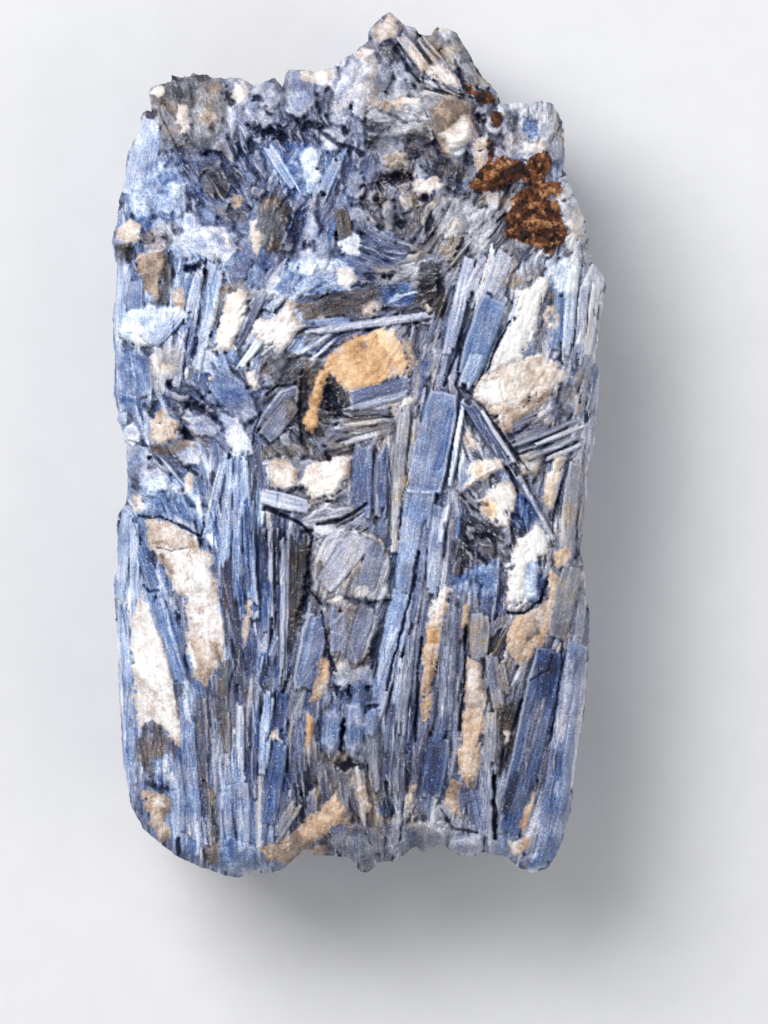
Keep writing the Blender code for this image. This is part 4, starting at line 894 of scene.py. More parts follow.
def lay_blade(sheet, blade, seed, soft=1.5, feather=2.5, moat=0.3, relief_share=1.0, taper=0.15):
    """Lays one blade: a bundle of thin laths side by side, each broken off at its own length.

    The sides fade over soft steps and the ends over feather steps. A moat in mm is sunk round the blade,
    and taper is the share of its width that it loses at its ends.
    """
    part, length, along, across = along_blade(sheet, blade, seed)
    broad = min(max((sum(blade.widths) / 2 - 9) / 15, 0), 1)
    lath, chance, other = split_in_laths(along, across, broad, seed)
    tip, side = inside_blade(blade, length, along, across, broad, (chance, other), taper)
    cover = smooth(side / soft + 0.5) * smooth(tip / feather + 0.5)
    gap = np.clip(1 + side / MOAT_STEPS, 0, 1) * np.clip(1 + tip / MOAT_STEPS, 0, 1) * (1 - cover)
    sheet.relief[part] -= moat * gap

    streak = wave(across / 1.9, along / 24, seed + 4)
    break_step = np.floor(2.2 * (wave(along / 26, across / 9, seed + 5) + 1)) / 2.2 - 1
    uneven = 0.14 * (chance - 0.5) + 0.06 * streak + 0.07 * break_step
    uneven = (1 - 0.5 * broad) * uneven - 0.10 * (1 - np.clip(side / 1.8, 0, 1)) ** 2
    relief = blade_relief(blade, along / length, across, uneven, relief_share, seed)
    tone = blade.tone + (1 - 0.4 * broad) * (0.14 * (other - 0.5) + 0.05 * streak + 0.05 * break_step)
    grey = blade.grey + 0.25 * (chance - 0.5) * (0.3 + blade.grey)
    coarse = min(1 - 0.75 * broad, max(length / 60, 0.3))
    sheet.blend(part, cover, relief=relief, tone=tone, grey=grey, quartz=0, sand=0, rust=0, coarse=coarse)
    fibre = 0.37 * (seed % 997) + 2.1 * lath
    sheet.blend(part, cover > 0.5, across=across * GRID_MM, along=along * GRID_MM, fibre=fibre)


# --- Laying patches, seams, cracks and hollows ----------------------------------------------------


# rough and lumps are fine and coarse noise that a patch's edge shares with its surface.
Footprint = namedtuple("Footprint", "part x y rough lumps depth cover")


def ruggedness(mineral):
    """1 for a mineral as rough as kyanite or rougher, less for a smoother one."""
    return min(mineral.grain / MINERALS["kyanite"].grain, 1)


def footprint(sheet, patch, seed):
    """Where a patch lies: how deep inside it each point is, and how much the patch covers it.

    The edge wanders, follows the blades under it and crumbles, more in some places than in others.
    """
    mineral, outline = MINERALS[patch.mineral], np.array(patch.outline, float)
    part = sheet.window(outline[:, 0], outline[:, 1], PATCH_REACH)
    x, y, rugged = sheet.x[part], sheet.y[part], ruggedness(mineral)
    rough, lumps = waves(x / 2.6, y / 2.6, seed + 7), waves(x / 8, y / 8, seed + 3)
    loose = np.clip(0.6 + 0.9 * waves(x / 24, y / 24, seed + 6), 0.3, 1)
    narrow = min(np.ptp(outline, axis=0).min() / SMALL_PATCH, 1)
    frayed = (rugged + 0.3 * mineral.glassy) * narrow * (0.65 + 0.35 * loose)
    warp_x = frayed * (3.2 * waves(x / 9, y / 9, seed) + 1.2 * rough)
    warp_y = frayed * (3.2 * waves(x / 9, y / 9, seed + 1) - 1.2 * rough)
    depth = depth_inside(outline, x + warp_x, y + warp_y)
    across, along = sheet.across[part] / GRID_MM + 11 * sheet.fibre[part], sheet.along[part] / GRID_MM
    depth = depth + 2.2 * frayed * waves(across / 3.5, along / 26, seed + 9)
    fade = GLASSY_FRAY if mineral.glassy else (FRAY_STEPS + 3 * mineral.quartz) * (0.35 + 0.65 * loose)
    lumpy = (0.5 + 0.6 * mineral.quartz * rugged) * np.minimum(lumps, 0) * (depth < 12)
    crumbs = 0.35 * rough * (1 if mineral.glassy else loose) + lumpy
    return Footprint(part, x, y, rough, lumps, depth, smooth(depth / fade + 0.5 + crumbs))


def over_mean(values, cover):
    """How far the values stand over their mean under a cover."""
    return values - np.average(values, weights=cover + 1e-6)


def patch_relief(sheet, patch, spot, shown, seed):
    """Height of a patch's surface in mm: rounded at its edge, lumpy, and tilted where it is smooth."""
    mineral, outline = MINERALS[patch.mineral], np.array(patch.outline, float)
    rounded, grain = np.clip(spot.depth / 5, 0, 1) ** 0.7, mineral.grain
    relief = STAND_SHARE * patch.lift * rounded + 0.8 * grain * spot.rough + (0.05 + 1.5 * grain) * spot.lumps
    relief = relief + shown * over_mean(sheet.relief[spot.part], spot.cover)
    chances = hashed(np.array([seed, seed + 1]), np.array([2, 2]), 8)
    lean_x, lean_y = 0.07 * (1 - ruggedness(mineral)) * (chances - 0.5)
    return relief + lean_x * (spot.x - outline[:, 0].mean()) + lean_y * (spot.y - outline[:, 1].mean())


def patch_tone(sheet, patch, spot, shown, bladed, seed):
    """Tone of a patch: mottled, cloudy, and darker or paler towards its edge."""
    mineral = MINERALS[patch.mineral]
    tone = patch.tone + (0.20 + 0.08 * mineral.quartz) * spot.lumps + 0.09 * spot.rough
    tone = tone + shown * over_mean(sheet.tone[spot.part], spot.cover)
    tone = tone + 0.24 * waves(spot.x / 22, spot.y / 22, seed + 4) * (1 - bladed)
    tone = tone + (0.22 * mineral.quartz - 0.25 * mineral.sand) * (1 - np.clip(spot.depth / 9, 0, 1))
    # A smooth broken face is paler just inside its edge: a painted highlight along the edge.
    if mineral.glassy:
        near_edge = 1 - np.clip(np.abs(spot.depth - 1.5) / 1.8, 0, 1)
        tone = tone - 0.20 * near_edge * np.clip(0.6 + spot.rough, 0, 1)
    return tone


def lay_patch(sheet, patch, seed):
    """Lays a patch of one mineral. What lies under it shows through, most under kyanite and slate."""
    mineral, spot = MINERALS[patch.mineral], footprint(sheet, patch, seed)
    quartz, sand, rust, grey, grain, glassy = mineral
    bladed = max(0.0, 1 - quartz - sand - rust) * ruggedness(mineral)
    shown = 0.12 if glassy else 0.25 + 0.5 * bladed
    relief = patch_relief(sheet, patch, spot, shown, seed)
    tone = patch_tone(sheet, patch, spot, shown, bladed, seed)
    if glassy:
        sheet.relief[spot.part] -= 0.22 * np.clip(1 - np.abs(spot.depth + 2) / 2, 0, 1)
    grey = sheet.grey[spot.part] if grey is None else grey
    stained = sand * np.clip(0.9 + 0.5 * waves(spot.x / 14, spot.y / 14, seed + 5), 0, 1)
    own_grain = quartz + sand + rust > 0 or ruggedness(mineral) < 1
    coarse = grain / COARSE_GRAIN_MM if own_grain else sheet.coarse[spot.part]
    sheet.blend(spot.part, spot.cover, relief=relief, tone=tone, grey=grey, coarse=coarse)
    sheet.blend(spot.part, spot.cover, quartz=quartz, sand=stained, rust=rust)


def lay_seam(sheet, seam, seed):
    """Lays a thin pale ridge along a bent line."""
    path = np.array(seam.path, float)
    part = sheet.window(path[:, 0], path[:, 1], seam.width + 3)
    x, y = sheet.x[part], sheet.y[part]
    away = distance_to_path(x, y, path, 1.2, 5, seed)
    cover = np.clip((seam.width / 2 - away) / 1.6 + 0.5, 0, 1)
    cover = cover * np.clip(0.55 + 0.6 * waves(x / 4, y / 4, seed + 2), 0, 1)
    sheet.relief[part] += 0.5 * seam.lift * cover
    sheet.blend(part, cover, tone=seam.tone)


def lay_crack(sheet, crack, seed):
    """Opens a crack along a bent line, wider in some places and nearly shut in others."""
    path = np.array(crack.path, float)
    part = sheet.window(path[:, 0], path[:, 1], crack.width + 5)
    x, y = sheet.x[part], sheet.y[part]
    rough = waves(x / 2.5, y / 2.5, seed + 3)
    away = distance_to_path(x, y, path, 1.4, 9, seed)
    half = 0.36 * crack.width * (1 + 0.9 * waves(x / 13, y / 13, seed + 2))
    open_share = smooth(1.15 - away / np.maximum(half, 0.4) + 0.2 * rough)
    sheet.relief[part] -= CRACK_SHARE * crack.depth * open_share
    # The open crack is darkened too: painted shade inside the crack.
    sheet.blend(part, open_share * (0.6 + 0.3 * rough), tone=0.85 + 0.1 * rough, quartz=0, sand=0, rust=0)


def lay_hollow(sheet, hollow, seed):
    """Sinks a ragged hollow with a broken floor."""
    part = sheet.window((hollow.x,), (hollow.y,), max(hollow.length, hollow.width) * 0.9 + 4)
    turn = math.radians(hollow.turn)
    rough = waves(sheet.x[part] / 3, sheet.y[part] / 3, seed + 3)
    x = sheet.x[part] + 3.0 * waves(sheet.x[part] / 8, sheet.y[part] / 8, seed) - hollow.x
    y = sheet.y[part] + 3.0 * waves(sheet.x[part] / 8, sheet.y[part] / 8, seed + 1) - hollow.y
    along = (x * math.cos(turn) + y * math.sin(turn)) / (hollow.length / 2)
    across = (y * math.cos(turn) - x * math.sin(turn)) / (hollow.width / 2)
    open_share = smooth(0.8 * (1.2 - np.hypot(along, across)) + 0.4 * rough)
    sheet.relief[part] -= HOLLOW_SHARE * hollow.depth * open_share * (1 - 0.25 * rough)
    # The open hollow is darkened too: painted shade inside the hollow.
    sheet.blend(part, open_share * (0.75 + 0.2 * rough), tone=0.92 + 0.14 * rough, quartz=0, sand=0, rust=0)


LAY = {Blade: lay_blade, Patch: lay_patch, Seam: lay_seam, Crack: lay_crack, Hollow: lay_hollow}


def lay_features(sheet, features, seed):
    """Lays the named features of one part of the stone in their order."""
    for number, feature in enumerate(features.values()):
        LAY[type(feature)](sheet, feature, seed + 13 * number)


# --- Covering a whole sheet -----------------------------------------------------------------------


def zones_round(sheet, seed):
    """Lean, length, width, tone and grey of the nearest zone of LIE_OF_BLADES, with ragged borders."""
    x = sheet.x + 14 * waves(sheet.x / 45, sheet.y / 45, seed)
    y = sheet.y + 14 * waves(sheet.x / 45, sheet.y / 45, seed + 1)
    nearest, owner = np.full(x.shape, 1e9), np.zeros(x.shape, int)
    for number, (zone_x, zone_y, *_) in enumerate(LIE_OF_BLADES):
        away = (x - zone_x) ** 2 + (y - zone_y) ** 2
        owner[away < nearest] = number
        nearest = np.minimum(nearest, away)
    return np.array(LIE_OF_BLADES, float)[owner, 2:].transpose(2, 0, 1)


def lay_mat(sheet, seed):
    """Covers a whole sheet with angular chips, long laths or short rubble as the nearest zone says."""
    lean, length, width, tone, grey = zones_round(sheet, seed)
    reach = int(12 / sheet.step)
    sheet.tone, sheet.grey = blurred(tone, reach), blurred(grey, reach)
    turn = np.radians(lean)
    bent_x = sheet.x + 3 * waves(sheet.x / 12, sheet.y / 12, seed + 4)
    bent_y = sheet.y + 3 * waves(sheet.x / 12, sheet.y / 12, seed + 5)
    across = bent_x * np.cos(turn) - bent_y * np.sin(turn)
    along = bent_x * np.sin(turn) + bent_y * np.cos(turn)
    for wide, long, strength in ((2.0, 0.95, 1.0), (0.9, 0.5, 0.5)):
        split = chips(across / (wide * width), along / (long * length), seed + 9)
        chance, other, right, down, border = split
        slant = 1.0 * right * (2 * chance - 1) + 0.8 * down * (2 * other - 1)
        sheet.relief += strength * (0.45 * (other - 0.5) + slant - 0.5 * (1 - smooth(border / 0.4)))
        sheet.tone += strength * 0.46 * (chance - 0.5)
        sheet.grey += strength * 0.6 * (other - 0.5) * sheet.grey
    sheet.across, sheet.along, sheet.fibre = across * GRID_MM, along * GRID_MM, lean + 9 * chance
    sheet.coarse = blurred(np.clip((length - 20) / 40, 0.3, 1), reach)


def break_up(sheet, seed):
    """Breaks a sheet into fine laminae along its fibres, and its mineral grains into crystals."""
    grainy = sheet.grainy()
    across, along = sheet.across / GRID_MM + 37 * sheet.fibre, sheet.along / GRID_MM
    chance, other, right, _, border = chips(across / 5.5, along / 34, seed)
    laminae = 0.22 * (chance - 0.5) + 0.20 * right * (2 * other - 1) - 0.06 * (1 - smooth(border / 0.2))
    streaks = 0.11 * (other - 0.5)
    chance, other, right, down, border = chips(sheet.x / 4.5, sheet.y / 4.5, seed + 5)
    crystals = 0.10 * (chance - 0.5) + 0.18 * right * (2 * other - 1) + 0.18 * down * (2 * chance - 1)
    crystals -= 0.04 * (1 - smooth(border / 0.2))
    sheet.relief += (laminae * (1 - grainy) + crystals * grainy) * sheet.coarse
    mottled = (0.16 * sheet.coarse + 0.6 * sheet.rust) * (chance - 0.5) * grainy
    sheet.tone += streaks * sheet.coarse * (1 - grainy) + mottled


def lie_at(x, y):
    """Lean in degrees, length, width, tone and grey of the blades near a place."""
    zones = np.array(LIE_OF_BLADES, float)
    weight = 1 / ((zones[:, 0] - x) ** 2 + (zones[:, 1] - y) ** 2 + 60) ** 2
    weight /= weight.sum()
    turn = np.radians(zones[:, 2]) * 2
    lean = 0.5 * math.atan2(weight @ np.sin(turn), weight @ np.cos(turn))
    return (math.degrees(lean), *(weight @ zones[:, 3:]))


def drawn_place(dice):
    """A place drawn anywhere on the sheet of the face."""
    left, right, top, bottom = FACE_WINDOW
    return dice.uniform(left, right), dice.uniform(top, bottom)


def ends_round(x, y, turn, half):
    """Both ends of a line through a place, turned from straight down the grid."""
    reach_x, reach_y = half * math.sin(turn), half * math.cos(turn)
    return (x - reach_x, y - reach_y), (x + reach_x, y + reach_y)


def drawn_outline(dice, x, y, half_x, half_y):
    """A closed eight-cornered outline round a place."""
    turns = np.linspace(0, math.tau, 9)[:-1]
    across = half_x * np.cos(turns) * dice.uniform(0.7, 1.2, 8)
    return tuple(zip(x + across, y + half_y * np.sin(turns) * dice.uniform(0.7, 1.2, 8)))


def drawn_blade(dice, x, y, lean, length, width, tone, grey):
    """A small blade round a place, close to the lean, size and colour given."""
    turn = math.radians(lean + dice.normal(0, 2 + 160 / length))
    ends = ends_round(x, y, turn, 0.5 * length * dice.uniform(0.6, 1.6))
    width *= dice.uniform(0.5, 1.35)
    tone += dice.normal(0, 0.15)
    grey += dice.normal(0, 0.12)
    widths = (width * dice.uniform(0.6, 1.1), width * dice.uniform(0.6, 1.1))
    return Blade(*ends, widths, dice.normal(0, 0.22), dice.normal(0, 7), tone, grey)


def scatter_blades(sheet, count, seed):
    """Covers a sheet with small blades that lie as the zones say, the lowest first."""
    dice = np.random.default_rng(seed)
    blades = []
    for _ in range(count):
        x, y = drawn_place(dice)
        lie = lie_at(x, y)
        if dice.random() <= smooth((lie[1] - 25) / 45) + 0.12:
            blades.append(drawn_blade(dice, x, y, *lie))
    blades.sort(key=lambda blade: blade.lift)
    small = {"soft": 2.6, "feather": 9.0, "moat": 0.04, "relief_share": 0.7, "taper": 0.5}
    for number, blade in enumerate(blades):
        lay_blade(sheet, blade, seed + 11 * number, **small)


def scatter_facets(sheet, tries, seed):
    """Lays smooth broken faces where the stone is rubble."""
    dice = np.random.default_rng(seed)
    for number in range(tries):
        x, y = drawn_place(dice)
        _, length, _, tone, _ = lie_at(x, y)
        if dice.random() >= smooth((length - 28) / 24):
            outline = drawn_outline(dice, x, y, dice.uniform(6, 14), dice.uniform(8, 18))
            facet = Patch("glassy", tone + dice.normal(0.0, 0.18), dice.normal(0.2, 0.5), outline)
            lay_patch(sheet, facet, seed + 17 * number)


def scatter_splinters(sheet, count, seed):
    """Adds fine pale and dark splinters that follow the blades."""
    dice = np.random.default_rng(seed)
    for _ in range(count):
        x, y = drawn_place(dice)
        lean, length, *_ = lie_at(x, y)
        if dice.random() > smooth((length - 25) / 30) + 0.3:
            continue
        turn = math.radians(lean + dice.normal(0, 5 + 200 / length))
        head, foot = ends_round(x, y, turn, 0.5 * min(length, 60) * dice.uniform(0.1, 0.6))
        part = sheet.window((head[0], foot[0]), (head[1], foot[1]), 3)
        near = distance_to_line(sheet.x[part], sheet.y[part], *head, *foot)
        bare = (1 - sheet.grainy(part)) * (0.2 + 0.8 * sheet.coarse[part])
        cover = np.clip(dice.uniform(0.8, 1.4) - near, 0, 1) * bare
        pale = dice.random() < 0.6
        sheet.relief[part] += cover * (0.10 if pale else -0.12)
        sheet.blend(part, cover * dice.uniform(0.2, 0.75), tone=0.0 if pale else 0.85)


def blurred(values, reach):
    """The mean of the values around each point."""
    for axis in (0, 1):
        for _ in range(2):
            width = [(reach + 1, reach) if n == axis else (0, 0) for n in (0, 1)]
            total = np.cumsum(np.pad(values, width, mode="edge"), axis=axis)
            ends = np.take(total, np.arange(2 * reach + 1, total.shape[axis]), axis=axis)
            starts = np.take(total, np.arange(0, total.shape[axis] - 2 * reach - 1), axis=axis)
            values = (ends - starts) / (2 * reach + 1)
    return values


def hollows_and_edges(relief):
    """How deep in a hollow, and how far out on an edge, each point lies, from 0 to 1."""
    middle = relief - blurred(relief, 5)
    broad = relief - blurred(relief, 14)
    hollow = np.clip(-0.9 * middle - 0.6 * broad - 0.10, 0, 1)
    standing = np.maximum(relief, blurred(relief, 8) - 0.15)
    edge = 2.6 * (standing - blurred(standing, 2)) + 0.4 * (standing - blurred(standing, 6))
    return hollow, np.clip(edge - 0.10, 0, 1)


def weather(sheet, seed):
    """Breaks a finished sheet up, clouds its tone and finds its hollows and edges."""
    break_up(sheet, seed + 40)
    x, y = sheet.x, sheet.y
    slow = 0.10 * waves(x / 60, y / 60, seed + 1) + 0.13 * waves(x / 18, y / 18, seed + 2)
    sheet.tone += slow + 0.05 * waves(x / 5, y / 5, seed + 3)
    # The hollows found here are darkened in the finish as painted shade, and the edges are frosted and lit as
    # a painted highlight.
    sheet.hollow, sheet.edge = hollows_and_edges(sheet.relief)


# --- Surveying the stone --------------------------------------------------------------------------


def depth_in_stone(sheet, seed):
    """How far inside the stone's ragged outline each point of a sheet lies, in grid steps."""
    warp_x = 1.0 * waves(sheet.x / 5, sheet.y / 5, seed)
    warp_y = 1.0 * waves(sheet.x / 5, sheet.y / 5, seed + 1)
    return depth_inside(OUTLINE, sheet.x + warp_x, sheet.y + warp_y)


def dome(x, y, seed):
    """Height of the broad face above the resting plane, in mm, with its rises, dips and uneven rim."""
    across = np.clip(np.abs(x - GRID_MIDDLE[0]) / GRID_HALF[0], 0, 1)
    along = np.clip(np.abs(y - GRID_MIDDLE[1]) / GRID_HALF[1], 0, 1)
    rim = RIM_MM + RIM_SWING_MM * waves(x / 90, y / 90, seed + 6)
    rises = LAND_MM * waves(x / 120, y / 150, seed + 7)
    return rim + (TOP_MM - rim + rises) * (1 - across**3) * (1 - along**4)


def near_place(sheet, x, y, reach):
    """1 at a place on a sheet, falling away to 0 round it."""
    return np.exp(-((sheet.x - x) ** 2 + (sheet.y - y) ** 2) / (2 * reach**2))


@functools.cache
def surveyed_face(step, blades, splinters, seed):
    """The sheet of the face, with everything laid on it."""
    face = Sheet(*FACE_WINDOW, step)
    lay_mat(face, seed)
    scatter_blades(face, blades, seed)
    scatter_facets(face, FACET_TRIES, seed + 3000)
    for number, features in enumerate(FACE_FEATURES):
        lay_features(face, features, seed + 5000 * (number + 1))
    scatter_splinters(face, splinters, seed)
    weather(face, seed)
    # Broad painted shade and light, and broad changes of grey.
    for x, y, reach, darker, greyer in BROAD_SHADE_AND_GREY:
        near = near_place(face, x, y, reach)
        face.tone += darker * near
        face.grey += greyer * near
    face.depth = depth_in_stone(face, seed)
    inward = np.clip(face.depth / ROUND_STEPS, 0, 1)
    face.height = dome(face.x, face.y, seed) + swell(face) + face.relief - RIM_DROP_MM * (1 - inward) ** 2
    return face


def swell(face):
    """Gentle rise of the face under the things that stand on it, in mm."""
    rise = np.zeros(face.x.shape)
    for features in FACE_FEATURES:
        for feature in features.values():
            if isinstance(feature, Patch):
                (x, y), reach = np.mean(feature.outline, axis=0), np.ptp(feature.outline, axis=0).mean() / 2
            elif isinstance(feature, Blade):
                (x, y), reach = np.mean([feature.head, feature.foot], axis=0), np.mean(feature.widths) * 1.5
            else:
                continue
            rise = np.maximum(rise, near_place(face, x, y, reach + 12) * feature.lift)
    return SWELL_SHARE * blurred(rise, int(14 / face.step))


def kept_cells(sheet):
    """Which cells of the sheet lie on the stone, with no two that meet only at a corner."""
    depth = sheet.depth
    kept = (depth[:-1, :-1] + depth[1:, :-1] + depth[:-1, 1:] + depth[1:, 1:]) > 0
    for _ in range(3):
        upper_left, upper_right = kept[:-1, :-1], kept[:-1, 1:]
        lower_left, lower_right = kept[1:, :-1], kept[1:, 1:]
        falling = upper_left & lower_right & ~upper_right & ~lower_left
        rising = upper_right & lower_left & ~upper_left & ~lower_right
        kept[:-1, 1:] |= falling
        kept[:-1, :-1] |= rising
    return kept


def cell_corners(kept):
    """Numbers of the upper left, lower left, lower right and upper right points of every cell."""
    rows, columns = kept.shape
    number = np.arange((rows + 1) * (columns + 1)).reshape(rows + 1, columns + 1)
    return [number[:-1, :-1], number[1:, :-1], number[1:, 1:], number[:-1, 1:]]


def rim_loop(kept):
    """Numbers of the points round the kept cells, in order, anticlockwise seen from above."""
    upper_left, lower_left, lower_right, upper_right = cell_corners(kept)
    framed = np.pad(kept, 1)
    sides = (
        (framed[1:-1, :-2], upper_left, lower_left),
        (framed[2:, 1:-1], lower_left, lower_right),
        (framed[1:-1, 2:], lower_right, upper_right),
        (framed[:-2, 1:-1], upper_right, upper_left),
    )
    following = {}
    for neighbour, start, end in sides:
        bare = kept & ~neighbour
        following.update(zip(start[bare].tolist(), end[bare].tolist()))
    loop = [min(following)]
    while following[loop[-1]] != loop[0]:
        loop.append(following[loop[-1]])
    if len(loop) != len(following):
        raise RuntimeError("the rim of the stone isn't one loop")
    return np.array(loop)


def snapped(sheet, loop):
    """The sheet's points in grid steps, with the points of the rim moved onto the outline."""
    slope_y, slope_x = np.gradient(sheet.depth, sheet.step)
    steep = np.maximum(slope_x**2 + slope_y**2, 0.25)
    x, y = sheet.x.ravel().copy(), sheet.y.ravel().copy()
    depth = (sheet.depth / steep).ravel()[loop]
    x[loop] -= depth * slope_x.ravel()[loop]
    y[loop] -= depth * slope_y.ravel()[loop]
    return x, y


def sheet_normals(sheet, height_mm):
    """The direction that each point of a sheet faces."""
    down, right = np.gradient(height_mm, sheet.step * GRID_MM)
    normals = np.stack([-right, down, np.ones_like(right)], axis=-1).reshape(-1, 3)
    return normals / np.linalg.norm(normals, axis=1, keepdims=True)


def in_metres(x, y, height_mm):
    """Points in Blender's space from places on the grid and heights in mm."""
    across = (x - GRID_MIDDLE[0]) * GRID_MM
    along = (GRID_MIDDLE[1] - y) * GRID_MM
    return np.stack([across, along, height_mm], axis=-1) / 1000


# --- Making meshes --------------------------------------------------------------------------------

# What a mesh's points carry for the material, three layers to an attribute.
CARRIED = {
    "colour": ("tone", "grey", "hollow"),
    "minerals": ("quartz", "sand", "rust"),
    "grain": ("across", "along", "fibre"),
    "wear": ("edge", "coarse", "coarse"),
}


def joined_faces(name, points, skin, walls, caps):
    """A mesh from the four-sided faces of its smooth skin and its flat walls, and many-sided caps."""
    mesh = bpy.data.meshes.new(name)
    corners = np.concatenate([skin.ravel(), walls.ravel(), *caps])
    sizes = np.array([4] * (len(skin) + len(walls)) + [len(cap) for cap in caps])
    mesh.vertices.add(len(points))
    mesh.vertices.foreach_set("co", np.asarray(points, np.float32).ravel())
    mesh.loops.add(len(corners))
    mesh.loops.foreach_set("vertex_index", corners.astype(np.int32))
    mesh.polygons.add(len(sizes))
    mesh.polygons.foreach_set("loop_start", (np.cumsum(sizes) - sizes).astype(np.int32))
    mesh.update(calc_edges=True)
    mesh.polygons.foreach_set("use_smooth", np.arange(len(sizes)) < len(skin))
    return mesh


def make_mesh(name, points, skin, walls, caps, carried, material, normals=None):
    """A piece of the stone from its smooth skin, hidden walls and caps, and what each point carries."""
    mesh = joined_faces(name, points, skin, walls, caps)
    for attribute, layers in carried.items():
        data = mesh.attributes.new(attribute, "FLOAT_VECTOR", "POINT").data
        data.foreach_set("vector", np.asarray(layers, np.float32).ravel())
    if mesh.validate():
        raise RuntimeError(f"{name} has faces that can't stay")
    if normals is not None:
        mesh.normals_split_custom_set_from_vertices(normals)
    mesh.materials.append(material)
    piece = bpy.data.objects.new(name, mesh)
    bpy.context.scene.collection.objects.link(piece)
    as_part_of_stone(piece)


def as_part_of_stone(piece):
    """Fixes a piece to the stone in place of its plain solid."""
    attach(piece, "root")
    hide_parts("kyanite_cluster")


def cells(kept, downward=False):
    """The four corners of each kept cell."""
    corners = cell_corners(kept)
    if downward:
        corners.reverse()
    return np.stack([corner[kept] for corner in corners], axis=-1)


def ring_faces(upper, lower):
    """Faces between two rings of points that run the same way, facing out when they run anticlockwise."""
    return np.stack([upper, lower, np.roll(lower, -1), np.roll(upper, -1)], axis=-1)


def carried_by(sheet, numbers):
    """What the material needs at some of a sheet's points."""
    return {
        attribute: np.stack([getattr(sheet, layer).ravel()[numbers] for layer in layers], axis=-1)
        for attribute, layers in CARRIED.items()
    }


def make_slab(name, sheet, kept, points, cap_mm, share, material, downward=False, normals=None):
    """A closed piece: the kept cells of a sheet, walls round them and a flat cap hidden in the stone."""
    skin = cells(kept, downward)
    loop = rim_loop(kept)
    used, renumbered = np.unique(skin, return_inverse=True)
    skin = renumbered.reshape(skin.shape)
    loop = np.searchsorted(used, loop)
    shown = points[used]
    hidden = shown[loop] * (share, share, 1)
    hidden[:, 2] = cap_mm / 1000
    carried = carried_by(sheet, used)
    carried = {key: np.concatenate([values, values[loop]]) for key, values in carried.items()}
    inner = np.arange(len(loop)) + len(used)
    walls = ring_faces(loop, inner)[:, ::-1] if downward else ring_faces(loop, inner)
    cap = inner if downward else inner[::-1]
    if normals is not None:
        normals = np.concatenate([normals[used], normals[used][loop]])
    make_mesh(name, np.concatenate([shown, hidden]), skin, walls, [cap], carried, material, normals)


def make_face_bands(face, material):
    """The face in bands from the crest to the foot."""
    kept = kept_cells(face)
    x, y = snapped(face, rim_loop(kept))
    points = in_metres(x, y, face.height.ravel())
    normals = sheet_normals(face, face.height)
    cuts = [0, *[int((place - face.top) / face.step) for place in BAND_CUTS], kept.shape[0]]
    for name, first, last in zip(BAND_NAMES, cuts, cuts[1:]):
        band = np.zeros_like(kept)
        band[first:last] = kept[first:last]
        make_slab(name, face, band, points, FACE_CAP_MM, FACE_CAP_SHARE, material, normals=normals)


# --- The flank ------------------------------------------------------------------------------------


def share_of_outline(height_mm):
    """How wide the flank is at each height, as a share of the outline."""
    heights, shares = zip(*FLANK_PROFILE)
    return np.interp(height_mm, heights, shares)


def lay_flank_mat(flank, end_on, seed):
    """Covers the flank with blades seen from the side, and with their broken ends where end_on says so."""
    x = flank.x + 6 * waves(flank.x / 22, flank.y / 22, seed)
    y = flank.y + 6 * waves(flank.x / 22, flank.y / 22, seed + 1)
    flank.tone[:], flank.grey[:], flank.coarse[:] = 0.45, 0.2, 1
    flank.grey += 0.25 * end_on + 0.3 * waves(flank.x / 60, flank.y / 40, seed + 2)
    for long, wide, strength in ((110, 17, 1.0), (42, 7, 0.5)):
        sides = chips(x / long, y / wide, seed + 9)
        ends = chips(x / (0.16 * long), y / (1.2 * wide), seed + 9)
        chance, other, right, down, border = np.where(end_on, ends, sides)
        slant = 0.9 * right * (2 * chance - 1) + 0.8 * down * (2 * other - 1)
        flank.relief += strength * (0.8 * (other - 0.5) + slant - 0.4 * (1 - smooth(border / 0.3)))
        flank.tone += strength * 0.4 * (chance - 0.5)
    flank.across, flank.along, flank.fibre = y * GRID_MM, x * GRID_MM, 9 * chance


def drawn_flank_blade(dice, x, y):
    """A long blade that runs level along the flank."""
    half, width = dice.uniform(14, 70), dice.uniform(4, 13)
    ends = ends_round(x, y, math.radians(90 + dice.normal(0, 5)), half)
    widths = (width * dice.uniform(0.7, 1.1), width * dice.uniform(0.7, 1.1))
    lift, tilt = dice.normal(0, 0.7), dice.normal(0, 10)
    return Blade(*ends, widths, lift, tilt, dice.normal(0.42, 0.17), dice.uniform(0, 0.6) ** 1.5)


def scatter_flank_blades(flank, end_on, count, seed):
    """Adds long blades to the sides of the flank, the lowest first."""
    dice = np.random.default_rng(seed)
    blades = []
    for _ in range(count):
        x, y = dice.uniform(0, flank.x[0, -1]), dice.uniform(-5, FLANK_STEPS + 5)
        blade = drawn_flank_blade(dice, x, y)
        if not end_on[int(x / flank.step)]:
            blades.append(blade)
    blades.sort(key=lambda blade: blade.lift)
    for number, blade in enumerate(blades):
        lay_blade(flank, blade, seed + 11 * number, moat=0.25)


